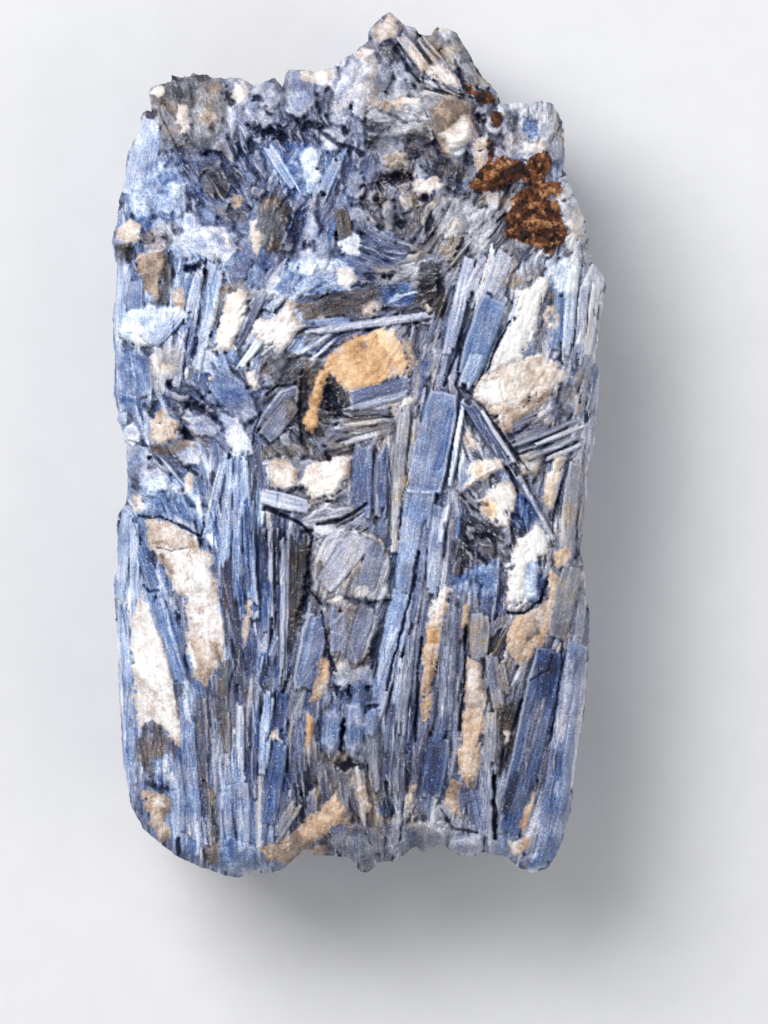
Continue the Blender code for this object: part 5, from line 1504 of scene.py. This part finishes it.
def scatter_flank_patches(flank, count, seed):
    """Adds pockets of other minerals and hollows to the flank."""
    dice = np.random.default_rng(seed)
    kinds = ("quartz", "cream", "beige", "mica", "peach", "quartz", "slate", "mica")
    for number in range(count):
        x, y = dice.uniform(0, flank.x[0, -1]), dice.uniform(10, FLANK_STEPS - 5)
        outline = drawn_outline(dice, x, y, dice.uniform(12, 50), dice.uniform(7, 20))
        tone, lift = dice.uniform(0.05, 0.6), dice.uniform(-0.2, 0.7)
        lay_patch(flank, Patch(kinds[number % len(kinds)], tone, lift, outline), seed + 17 * number)
    for number in range(3 * count):
        x, y = dice.uniform(0, flank.x[0, -1]), dice.uniform(8, FLANK_STEPS - 4)
        size = dice.uniform(6, 26), dice.uniform(4, 11)
        hollow = Hollow(x, y, *size, dice.uniform(-20, 20), dice.uniform(1.0, 2.6))
        lay_hollow(flank, hollow, seed + 19 * number)


def facets_behind(flank, seed):
    """How far the broad broken facets of the flank lie behind the outline, in mm."""
    behind = np.zeros(flank.x.shape)
    for long, tall, deep in FLANK_FACETS:
        x = flank.x / long + 0.3 * waves(flank.x / 50, flank.y / 50, seed)
        chance, other, right, down, _ = chips(x, flank.y / tall, seed + 4)
        behind += deep * (0.4 * other + 0.9 * right * (2 * chance - 1) + 0.9 * down * (2 * other - 1))
    return np.clip(behind, 0, 5)


def surveyed_flank(place, outward, blades, seed):
    """The sheet of the flank, unrolled along the rim, with everything laid on it."""
    length_round = 2 * place[-1] - place[-2]
    flank = Sheet(0, length_round, 0, FLANK_STEPS, FLANK_STEP)
    end_on = np.abs(np.interp(flank.x[0], place, outward[:, 1])) > END_ON
    lay_flank_mat(flank, end_on, seed)
    scatter_flank_blades(flank, end_on, blades, seed)
    scatter_flank_patches(flank, FLANK_POCKETS, seed + 1)
    weather(flank, seed)
    flank.relief -= 0.5 + facets_behind(flank, seed)
    return flank


def flank_skin(flank, rim, outward, place, down):
    """Points of the flank in mm, from the rim down to the resting face."""
    rows, columns = sampled(flank, place, down)
    level = blurred(np.tile(rim[:, 2], (2, 3)), 24)[0, len(rim):2 * len(rim)]
    height = level * (1 - down) + (rim[:, 2] - level) * np.clip(1 - down / 0.12, 0, 1)
    share = share_of_outline(height) / share_of_outline(rim[:, 2])
    under_rim = smooth(down * FLANK_STEPS / 14)
    at_seam = smooth(np.minimum(place, place[-1] - place) / 12)
    out = np.clip(flank.relief[rows, columns], -5.0, 0.4) * under_rim * smooth((1 - down) / 0.06) * at_seam
    across, along = rim[:, 0] * share + out * outward[:, 0], rim[:, 1] * share + out * outward[:, 1]
    return np.stack([across, along, height], axis=-1)


def sampled(flank, place, down):
    """Rows and columns of the flank's sheet for the points of its skin."""
    rows = np.clip(down * FLANK_STEPS / flank.step, 0, flank.x.shape[0] - 1).astype(int)
    columns = np.clip(place / flank.step, 0, flank.x.shape[1] - 1).astype(int)
    return rows, columns[None, :]


def flank_layers(face, loop, flank, place, down):
    """What the material needs at each point of the flank, going over from the face's at the rim."""
    rows, columns = sampled(flank, place, down)
    fading = smooth(down * FLANK_STEPS / 9 + 0.3 * waves(flank.x, flank.y, 1)[rows, columns] * (down > 0))
    carried = {}
    for attribute, layers in CARRIED.items():
        below = np.stack([getattr(flank, layer)[rows, columns] for layer in layers], axis=-1)
        above = np.stack([getattr(face, layer).ravel()[loop] for layer in layers], axis=-1)
        share_below = (fading > 0.5)[..., None] if attribute == "grain" else fading[..., None]
        carried[attribute] = above * (1 - share_below) + below * share_below
    return carried


def make_ring(name, skin, carried, top_share, top_mm, base_share, base_mm, material):
    """A closed piece from rings of points, with a flat cap inside the stone above and below."""
    caps = skin[0] * (top_share, top_share, 0), skin[-1] * (base_share, base_share, 0)
    caps[0][:, 2], caps[1][:, 2] = top_mm, base_mm
    rings, count = skin.shape[:2]
    number = np.arange((rings + 2) * count).reshape(rings + 2, count)
    outside = np.concatenate([ring_faces(upper, lower) for upper, lower in zip(number, number[1:rings])])
    top, base = number[rings], number[rings + 1]
    walls = np.concatenate([ring_faces(top, number[0]), ring_faces(number[rings - 1], base)])
    values = {}
    for key, layer in carried.items():
        values[key] = np.concatenate([layer.reshape(-1, 3), layer[0], layer[-1]])
    points = np.concatenate([skin.reshape(-1, 3), *caps]) / 1000
    make_mesh(name, points, outside, walls, [top, base[::-1]], values, material)


def directions_out(rim):
    """Which way is out of the stone at each point of the rim, level with the floor."""
    run = np.roll(rim[:, :2], -9, axis=0) - np.roll(rim[:, :2], 9, axis=0)
    run /= np.maximum(np.linalg.norm(run, axis=1, keepdims=True), 1e-6)
    return np.stack([run[:, 1], -run[:, 0]], axis=-1)


def way_round(rim):
    """How far along the rim each of its points is, in grid steps."""
    step_lengths = np.linalg.norm(np.diff(rim[:, :2], axis=0, append=rim[:1, :2]), axis=1) / GRID_MM
    return np.cumsum(step_lengths) - step_lengths


def make_flank(face, blades, seed, material):
    """The side walls from the rim of the face in to the resting face, in an upper and a lower ring."""
    loop = rim_loop(kept_cells(face))
    x, y = snapped(face, loop)
    rim = in_metres(x, y, face.height.ravel())[loop] * 1000
    outward, place = directions_out(rim), way_round(rim)
    down = np.linspace(0, 1, 2 * FLANK_ROWS + 1)[:, None] ** 1.1
    flank = surveyed_flank(place, outward, blades, seed)
    skin = flank_skin(flank, rim, outward, place, down)
    carried = flank_layers(face, loop, flank, place, down)
    upper, lower = slice(0, FLANK_ROWS + 1), slice(FLANK_ROWS, None)
    parts = (
        ("upper_flank", upper, FACE_CAP_SHARE, FACE_CAP_MM, FLANK_CAP_SHARE, FLANK_CAP_MM),
        ("lower_flank", lower, FLANK_CAP_SHARE, FLANK_CAP_MM, BASE_CAP_SHARE, BASE_CAP_MM),
    )
    for name, rows, *closing in parts:
        values = {key: layer[rows] for key, layer in carried.items()}
        make_ring(name, skin[rows], values, *closing, material)


# --- The back -------------------------------------------------------------------------------------


def scatter_back_patches(back, count, seed):
    """Adds pockets of quartz, mica and sand to the back."""
    dice = np.random.default_rng(seed)
    kinds = ("quartz", "mica", "beige", "slate", "cream", "mica")
    for number in range(count):
        x, y = dice.uniform(140, 580), dice.uniform(60, 850)
        outline = drawn_outline(dice, x, y, dice.uniform(8, 22), dice.uniform(20, 60))
        tone, lift = dice.uniform(0.1, 0.6), dice.uniform(-0.2, 0.5)
        lay_patch(back, Patch(kinds[number % len(kinds)], tone, lift, outline), seed + 17 * number)


def make_back(blades, seed, material):
    """The broken back that the stone rests on, nearly flat."""
    back = Sheet(*FACE_WINDOW, BACK_STEP)
    lay_mat(back, seed + 3)
    scatter_blades(back, blades, seed)
    scatter_back_patches(back, BACK_POCKETS, seed + 1)
    weather(back, seed)
    back.depth = depth_in_stone(back, seed)
    raised = np.clip(0.9 - 0.8 * back.relief, 0.0, 2.0) * smooth(back.depth / 10)
    kept = kept_cells(back)
    x, y = snapped(back, rim_loop(kept))
    points = in_metres(x, y, raised.ravel()) * (BASE_SHARE, BASE_SHARE, 1)
    make_slab("back", back, kept, points, BACK_CAP_MM, BACK_CAP_SHARE, material, downward=True)


# --- Finish ---------------------------------------------------------------------------------------

# Where each mineral's colours stand, from its palest to its darkest.
KYANITE_STOPS = (0.0, 0.14, 0.3, 0.46, 0.64, 0.82, 1.0)
SCHIST_STOPS = (0.0, 0.33, 0.66, 1.0)
QUARTZ_STOPS = (0.0, 0.3, 0.6, 1.0)
SAND_STOPS = (0.0, 0.4, 0.7, 1.0)
RUST_STOPS = (0.0, 0.35, 0.65, 1.0)


def new_finish(name):
    """An empty finish, its nodes and its shader."""
    material = bpy.data.materials.new(name)
    material.use_nodes = True
    return material, material.node_tree, material.node_tree.nodes["Principled BSDF"]


def add_node(tree, kind, inputs=(), **settings):
    """Adds a node, with each input linked to a socket or set to a value."""
    node = tree.nodes.new(kind)
    for setting, value in settings.items():
        setattr(node, setting, value)
    for socket, value in dict(inputs).items():
        if isinstance(value, bpy.types.NodeSocket):
            tree.links.new(value, node.inputs[socket])
        else:
            node.inputs[socket].default_value = value
    return node


def reckon(tree, operation, *values, clamp=False):
    """One sum on numbers."""
    node = add_node(tree, "ShaderNodeMath", enumerate(values), operation=operation, use_clamp=clamp)
    return node.outputs[0]


def scaled(tree, value, factor, plus):
    """A number times a factor, plus another."""
    return reckon(tree, "MULTIPLY_ADD", value, factor, plus)


def less(tree, value, amount):
    """A number less an amount."""
    return reckon(tree, "SUBTRACT", value, amount)


def mixed(tree, share, first, second):
    """A colour between two others."""
    node = add_node(tree, "ShaderNodeMix", {0: share, 6: first, 7: second}, data_type="RGBA")
    return node.outputs[2]


def ramp(tree, share, places, colours):
    """A colour read from a row of colours."""
    node = add_node(tree, "ShaderNodeValToRGB", {0: share})
    elements = node.color_ramp.elements
    while len(elements) < len(places):
        elements.new(1.0)
    for element, place, colour in zip(elements, places, colours):
        element.position = place
        element.color = (*colour, 1.0)
    return node.outputs[0]


def carried_vector(tree, attribute):
    """One attribute of the mesh."""
    return add_node(tree, "ShaderNodeAttribute", attribute_name=attribute).outputs["Vector"]


def carried_layers(tree, attribute):
    """The three layers of one attribute of the mesh."""
    return add_node(tree, "ShaderNodeSeparateXYZ", {0: carried_vector(tree, attribute)}).outputs


def noise(tree, place, scale, detail, roughness):
    """Noise from 0 to 1."""
    inputs = {"Vector": place, "Scale": scale, "Detail": detail, "Roughness": roughness}
    return add_node(tree, "ShaderNodeTexNoise", inputs).outputs[0]


def grain_noise(tree, grain, across, along, detail):
    """Noise drawn out along the blades."""
    inputs = {0: grain, 1: (across, along, 1.0)}
    place = add_node(tree, "ShaderNodeVectorMath", inputs, operation="MULTIPLY").outputs[0]
    return noise(tree, place, 1.0, detail, 0.62)


def speckle_noise(tree, place, scale, detail):
    """Noise with no direction, in specks of about 1 / scale metres."""
    return noise(tree, place, scale, detail, 0.6)


def stepped(tree, value, low, high):
    """0 below low, 1 above high and eased between."""
    inputs = {"Value": value, "From Min": low, "From Max": high}
    return add_node(tree, "ShaderNodeMapRange", inputs, interpolation_type="SMOOTHSTEP").outputs[0]


def bladed_colour(tree, colours, tone, grey, cloud, warmth):
    """The colour of kyanite and schist, with lavender, sky blue, silver and tan in clouds of their own."""
    lavender = ramp(tree, tone, KYANITE_STOPS, colours.shades("lavender"))
    sky = ramp(tree, tone, KYANITE_STOPS, colours.shades("sky"))
    skyness = scaled(tree, cloud, 2.4, scaled(tree, grey, -1.6, -0.95))
    kyanite = mixed(tree, stepped(tree, skyness, -0.5, 0.5), lavender, sky)
    schist = ramp(tree, tone, SCHIST_STOPS, colours.shades("schist"))
    tan_schist = ramp(tree, tone, SCHIST_STOPS, colours.shades("tan_schist"))
    schist = mixed(tree, stepped(tree, warmth, 0.46, 0.62), schist, tan_schist)
    greyness = stepped(tree, scaled(tree, cloud, 0.7, less(tree, grey, 0.35)), 0.15, 0.85)
    return mixed(tree, greyness, kyanite, schist)


def grains_over(tree, colour, colours, tone, speckle, quartz, sand, rust):
    """Quartz, then sand, then iron oxide over a colour."""
    grains = scaled(tree, speckle, 0.9, less(tree, tone, 0.45))
    quartz_colour = ramp(tree, grains, QUARTZ_STOPS, colours.shades("quartz"))
    sand_colour = ramp(tree, grains, SAND_STOPS, colours.shades("sand"))
    rust_colour = ramp(tree, grains, RUST_STOPS, colours.shades("rust"))
    # each one's amount and colour, how ragged its edge is, and the amounts over which it fades in
    minerals = (
        (quartz, quartz_colour, 0.4, (0.2, 0.8)), (sand, sand_colour, 0.3, (0.1, 0.9)),
        (rust, rust_colour, 0.8, (0.3, 0.62)),
    )
    for amount, mineral, ragged, edges in minerals:
        frayed = scaled(tree, speckle, ragged, less(tree, amount, ragged / 2))
        colour = mixed(tree, stepped(tree, frayed, *edges), colour, mineral)
    return colour


def frost_and_painted_light(tree, colour, colours, place, speckle, edge, hollow, grainy):
    """Frosted broken edges, partly a painted highlight on raised edges, painted glints and painted shade in
    crevices over a colour. Grainy minerals show no frosted edges or glints.
    """
    frost_and_highlight_colour, painted_shade_colour = (*colours.frost_and_highlight, 1.0), (*colours.crevice, 1.0)
    # Pale frosted broken edges, partly a painted highlight on the raised edges.
    frost_and_highlight = stepped(tree, scaled(tree, speckle, 1.0, less(tree, edge, 0.5)), 0.15, 0.75)
    frost_and_highlight = reckon(tree, "MULTIPLY", frost_and_highlight, scaled(tree, grainy, -0.32, 0.32))
    colour = mixed(tree, frost_and_highlight, colour, frost_and_highlight_colour)
    # Painted glints: sparse white specks on the kyanite.
    painted_glints = stepped(tree, speckle_noise(tree, place, 3000.0, 1.0), 0.66, 0.76)
    painted_glints = reckon(tree, "MULTIPLY", painted_glints, scaled(tree, grainy, -0.5, 0.5))
    colour = mixed(tree, painted_glints, colour, frost_and_highlight_colour)
    # Painted shade: crevices and hollows darkened towards the crevice colour.
    sunk = stepped(tree, scaled(tree, speckle, 0.35, less(tree, hollow, 0.17)), 0.05, 0.85)
    return mixed(tree, reckon(tree, "MULTIPLY", sunk, 0.7), colour, painted_shade_colour)


def set_surface(tree, shader, streak, fine_streak, speckle, grainy):
    """The gloss of the stone and its finest ridges."""
    roughness = scaled(tree, streak, 0.35, 0.3)
    roughness = reckon(tree, "MULTIPLY_ADD", grainy, 0.35, roughness, clamp=True)
    tree.links.new(roughness, shader.inputs["Roughness"])
    shader.inputs["Specular IOR Level"].default_value = 0.45
    ridges = scaled(tree, speckle, 0.5, scaled(tree, fine_streak, 0.5, streak))
    bump = add_node(tree, "ShaderNodeBump", {"Strength": 0.5, "Distance": 0.00025, "Height": ridges})
    tree.links.new(bump.outputs[0], shader.inputs["Normal"])


def stone_finish(colours):
    """Bladed kyanite with quartz, sand, mica and iron oxide, mixed as the mesh says."""
    material, tree, shader = new_finish("kyanite_and_quartz")
    tone, grey, hollow = carried_layers(tree, "colour")
    quartz, sand, rust = carried_layers(tree, "minerals")
    edge, coarse, _ = carried_layers(tree, "wear")
    grain = carried_vector(tree, "grain")
    place = add_node(tree, "ShaderNodeTexCoord").outputs["Object"]
    streak = grain_noise(tree, grain, 1.6, 0.07, 3.0)
    fine_streak = grain_noise(tree, grain, 4.5, 0.22, 2.0)
    speckle = speckle_noise(tree, place, 3600.0, 2.0)
    cloud = speckle_noise(tree, place, 330.0, 3.0)
    warmth = speckle_noise(tree, place, 210.0, 4.0)

    streaks = less(tree, reckon(tree, "ADD", streak, fine_streak), 1.0)
    strength = scaled(tree, coarse, 0.35, 0.15)
    shift = scaled(tree, speckle, 0.7, scaled(tree, streaks, strength, -0.35))
    shaded = reckon(tree, "ADD", tone, shift)
    colour = bladed_colour(tree, colours, shaded, grey, cloud, warmth)
    colour = grains_over(tree, colour, colours, tone, speckle, quartz, sand, rust)
    grainy = reckon(tree, "ADD", reckon(tree, "ADD", quartz, sand), rust, clamp=True)
    colour = frost_and_painted_light(tree, colour, colours, place, speckle, edge, hollow, grainy)
    tree.links.new(colour, shader.inputs["Base Color"])
    set_surface(tree, shader, streak, fine_streak, speckle, grainy)
    return material


def floor_finish(colour):
    """Matt pale card with a faint tooth."""
    material, tree, shader = new_finish("pale_card")
    tooth = speckle_noise(tree, add_node(tree, "ShaderNodeTexCoord").outputs["Object"], 160.0, 2.0)
    darker = tuple(channel * 0.97 for channel in colour)
    tree.links.new(ramp(tree, tooth, (0.3, 0.7), (darker, colour)), shader.inputs["Base Color"])
    shader.inputs["Roughness"].default_value = 0.9
    return material


# --- The stage ------------------------------------------------------------------------------------

FLOOR_DROP = 0.0002  # metres, so that the stone's base doesn't share the floor's plane
KEY_PLACE, KEY_SIZE = (-0.50, 0.55, 0.95), 0.75
FILL_PLACE, FILL_SIZE = (0.75, -0.35, 0.80), 0.9
SKY_COLOUR = (0.95, 0.97, 1.0, 1.0)
VIEW_STEPS = (768, 1024)  # what the camera takes in, across and down, in grid steps
VIEW_MM = 28.0  # the height at which it takes in just that
SENSOR_MM = 36.0
CLIP_END = 20.0


def make_floor(size, colour):
    """A pale floor just under the stone."""
    mesh = bpy.data.meshes.new("floor")
    build = bmesh.new()
    bmesh.ops.create_grid(build, x_segments=8, y_segments=8, size=size / 2)
    build.to_mesh(mesh)
    build.free()
    mesh.materials.append(floor_finish(colour))
    floor = bpy.data.objects.new("floor", mesh)
    floor.location.z = -FLOOR_DROP
    bpy.context.scene.collection.objects.link(floor)


def make_light(name, place, size, power):
    """A square soft light that looks at the stone."""
    light = bpy.data.lights.new(name, "AREA")
    light.shape = "SQUARE"
    light.size = size
    light.energy = power
    lamp = bpy.data.objects.new(name, light)
    lamp.location = place
    lamp.rotation_euler = (-Vector(place)).to_track_quat("-Z", "Y").to_euler()
    bpy.context.scene.collection.objects.link(lamp)


def make_sky(strength):
    """Even light from all round, and colours shown as they are."""
    sky = bpy.data.worlds.new("studio_sky")
    sky.use_nodes = True
    sky.node_tree.nodes["Background"].inputs["Color"].default_value = SKY_COLOUR
    sky.node_tree.nodes["Background"].inputs["Strength"].default_value = strength
    bpy.context.scene.world = sky
    bpy.context.scene.view_settings.view_transform = "Standard"


def make_camera(lens):
    """A long lens straight above the stone, with the crest at the top of the picture."""
    data = bpy.data.cameras.new("camera")
    data.lens = lens
    data.sensor_width = SENSOR_MM
    data.clip_end = CLIP_END
    camera = bpy.data.objects.new("camera", data)
    distance = VIEW_STEPS[1] * GRID_MM * lens / SENSOR_MM
    middle = np.array(VIEW_STEPS[0] / 2), np.array(VIEW_STEPS[1] / 2)
    across, along, _ = in_metres(*middle, np.array(0.0))
    camera.location = (across, along, (distance + VIEW_MM) / 1000)
    bpy.context.scene.collection.objects.link(camera)
    bpy.context.scene.camera = camera


# --- The add-on -----------------------------------------------------------------------------------


def from_screen(red, green, blue):
    """A colour in Blender's own light values from the numbers a screen shows, 0 to 255."""
    shares = (red / 255, green / 255, blue / 255)
    bright = [((share + 0.055) / 1.055) ** 2.4 for share in shares]
    return tuple(share / 12.92 if share <= 0.04045 else light for share, light in zip(shares, bright))


def colour_property(name, description, *screen):
    """A colour that the user can change."""
    settings = {"size": 3, "min": 0.0, "max": 1.0, "subtype": "COLOR"}
    return FloatVectorProperty(name=name, description=description, default=from_screen(*screen), **settings)


class StoneSizes(bpy.types.PropertyGroup):
    """How finely the stone is surveyed and how much is laid on it."""

    survey_step: FloatProperty(
        name="Survey step", description="Distance between survey points on the face, in grid steps",
        default=1.25, min=0.9, max=8.0,
    )
    face_blades: IntProperty(
        name="Face blades", description="Small blades laid on the face", default=2600, min=0,
    )
    splinters: IntProperty(
        name="Splinters", description="Fine splinters laid on the face", default=2600, min=0,
    )
    flank_blades: IntProperty(
        name="Flank blades", description="Blades laid round the flank", default=1100, min=0,
    )
    back_blades: IntProperty(
        name="Back blades", description="Blades laid on the back", default=700, min=0,
    )
    seed: IntProperty(
        name="Seed", description="Number that fixes where the small blades fall", default=4, min=1,
    )


class StoneColours(bpy.types.PropertyGroup):
    """Colours of the minerals, from the palest to the darkest of each."""

    lavender_frost: colour_property("Lavender frost", "Broken, almost white kyanite", 246, 245, 248)
    lavender_pale: colour_property("Lavender pale", "Pale lavender kyanite", 211, 213, 230)
    lavender_light: colour_property("Lavender light", "Light periwinkle kyanite", 172, 177, 201)
    lavender_mid: colour_property("Lavender mid", "Periwinkle kyanite", 131, 138, 167)
    lavender_blue: colour_property("Lavender blue", "Violet blue kyanite", 90, 99, 133)
    lavender_deep: colour_property("Lavender deep", "Deep violet blue kyanite", 52, 60, 93)
    lavender_navy: colour_property("Lavender navy", "Nearly black violet kyanite", 18, 22, 46)
    sky_frost: colour_property("Sky frost", "Broken, almost white blue kyanite", 240, 248, 253)
    sky_pale: colour_property("Sky pale", "Pale sky blue kyanite", 204, 219, 241)
    sky_light: colour_property("Sky light", "Light sky blue kyanite", 160, 180, 216)
    sky_mid: colour_property("Sky mid", "Clear blue kyanite", 112, 138, 184)
    sky_blue: colour_property("Sky blue", "Strong blue kyanite", 68, 100, 156)
    sky_deep: colour_property("Sky deep", "Deep royal blue kyanite", 34, 60, 116)
    sky_navy: colour_property("Sky navy", "Nearly black blue kyanite", 10, 22, 60)
    schist_pale: colour_property("Schist pale", "Silvery mica", 220, 221, 228)
    schist_grey: colour_property("Schist grey", "Grey mica schist", 148, 150, 162)
    schist_brown: colour_property("Schist brown", "Brown-grey mica schist", 96, 98, 110)
    schist_dark: colour_property("Schist dark", "Almost black mica schist", 32, 30, 38)
    tan_schist_pale: colour_property("Tan schist pale", "Pale iron-stained mica", 226, 214, 202)
    tan_schist_grey: colour_property("Tan schist grey", "Iron-stained mica schist", 164, 148, 134)
    tan_schist_brown: colour_property("Tan schist brown", "Brown mica schist", 108, 92, 82)
    tan_schist_dark: colour_property("Tan schist dark", "Almost black brown schist", 40, 31, 28)
    quartz_white: colour_property("Quartz white", "White quartz", 250, 248, 248)
    quartz_pale: colour_property("Quartz pale", "Pale warm quartz", 226, 216, 212)
    quartz_beige: colour_property("Quartz beige", "Beige quartz", 186, 170, 160)
    quartz_brown: colour_property("Quartz brown", "Stained grey-brown quartz", 116, 104, 98)
    sand_pale: colour_property("Sand pale", "Pale sandy quartz", 250, 226, 190)
    sand_tan: colour_property("Sand tan", "Tan sandy quartz", 232, 192, 150)
    sand_brown: colour_property("Sand brown", "Brown sandy quartz", 204, 158, 114)
    sand_dark: colour_property("Sand dark", "Dark sandy quartz", 128, 98, 72)
    rust_orange: colour_property("Rust orange", "Orange iron oxide", 196, 150, 104)
    rust_brown: colour_property("Rust brown", "Brown iron oxide", 134, 80, 46)
    rust_red: colour_property("Rust red", "Dark red-brown iron oxide", 86, 46, 28)
    rust_dark: colour_property("Rust dark", "Nearly black iron oxide", 30, 14, 9)
    # Also the colour of the painted highlight on raised edges and of the painted glints.
    frost_and_highlight: colour_property("Broken edge", "Frosted white of a broken edge", 240, 243, 252)
    # The colour of the painted shade in crevices and hollows.
    crevice: colour_property("Crevice", "Dark at the bottom of a crevice", 14, 20, 54)

    def shades(self, mineral):
        """One mineral's colours, from its palest to its darkest."""
        return [getattr(self, name) for name in self.__annotations__ if name.startswith(mineral + "_")]


class StudioSettings(bpy.types.PropertyGroup):
    """The floor, the lights and the lens."""

    floor_size: FloatProperty(name="Floor", description="Side of the floor", default=6.0, unit="LENGTH")
    floor_colour: colour_property("Floor colour", "Pale card", 226, 226, 228)
    key_power: FloatProperty(
        name="Key light", description="Power of the key light", default=15.0, unit="POWER",
    )
    fill_power: FloatProperty(
        name="Fill light", description="Power of the fill light", default=3.0, unit="POWER",
    )
    sky: FloatProperty(
        name="Sky", description="Strength of the even light from all round", default=0.34, min=0.0,
    )
    lens: FloatProperty(name="Lens", description="Focal length", default=500.0, unit="CAMERA")


def stone_material():
    """The stone's one finish, made the first time that a piece asks for it."""
    held = bpy.data.materials.get("kyanite_and_quartz")
    return held or stone_finish(bpy.context.scene.kyanite_colours)


def stone_face():
    """The surveyed face for the present settings."""
    sizes = bpy.context.scene.kyanite_sizes
    return surveyed_face(sizes.survey_step, sizes.face_blades, sizes.splinters, sizes.seed)


class KYANITE_OT_face(bpy.types.Operator):
    """Survey the bladed face and make it in bands from the crest to the foot"""

    bl_idname = "kyanite.face"
    bl_label = "Bladed face"

    def execute(self, context):
        make_face_bands(stone_face(), stone_material())
        return {"FINISHED"}


class KYANITE_OT_flank(bpy.types.Operator):
    """Make the side walls of the stone from the rim of its face to its base"""

    bl_idname = "kyanite.flank"
    bl_label = "Flank"

    def execute(self, context):
        sizes = context.scene.kyanite_sizes
        make_flank(stone_face(), sizes.flank_blades, sizes.seed, stone_material())
        return {"FINISHED"}


class KYANITE_OT_back(bpy.types.Operator):
    """Make the broken back that the stone rests on"""

    bl_idname = "kyanite.back"
    bl_label = "Back"

    def execute(self, context):
        sizes = context.scene.kyanite_sizes
        make_back(sizes.back_blades, sizes.seed, stone_material())
        return {"FINISHED"}


class KYANITE_OT_studio(bpy.types.Operator):
    """Lay the floor and set the lights and the camera"""

    bl_idname = "kyanite.studio"
    bl_label = "Studio"

    def execute(self, context):
        studio = context.scene.kyanite_studio
        make_floor(studio.floor_size, tuple(studio.floor_colour))
        make_light("key_light", KEY_PLACE, KEY_SIZE, studio.key_power)
        make_light("fill_light", FILL_PLACE, FILL_SIZE, studio.fill_power)
        make_sky(studio.sky)
        make_camera(studio.lens)
        return {"FINISHED"}


class KYANITE_PT_panel(bpy.types.Panel):
    """Everything that makes up the specimen"""

    bl_idname = "KYANITE_PT_panel"
    bl_label = "Kyanite blade cluster"
    bl_space_type = "VIEW_3D"
    bl_region_type = "UI"
    bl_category = "Kyanite"

    def draw(self, context):
        layout = self.layout
        for step in STEPS:
            layout.operator(step.bl_idname)
        for group in GROUPS:
            settings, box = getattr(context.scene, group), layout.box()
            for name in settings.__annotations__:
                box.prop(settings, name)


STEPS = (KYANITE_OT_face, KYANITE_OT_flank, KYANITE_OT_back, KYANITE_OT_studio)
GROUPS = {"kyanite_sizes": StoneSizes, "kyanite_colours": StoneColours, "kyanite_studio": StudioSettings}


def register():
    """Adds the settings, the steps and the panel to Blender."""
    for name, group in GROUPS.items():
        bpy.utils.register_class(group)
        setattr(bpy.types.Scene, name, PointerProperty(type=group))
    for shown in (*STEPS, KYANITE_PT_panel):
        bpy.utils.register_class(shown)


def unregister():
    """Takes them away again."""
    for shown in (KYANITE_PT_panel, *reversed(STEPS)):
        bpy.utils.unregister_class(shown)
    for name, group in GROUPS.items():
        delattr(bpy.types.Scene, name)
        bpy.utils.unregister_class(group)


def main():
    """Builds the specimen and its studio."""
    register()
    bpy.ops.kyanite.face()
    bpy.ops.kyanite.flank()
    bpy.ops.kyanite.back()
    bpy.ops.kyanite.studio()


if __name__ == "__main__":
    main()
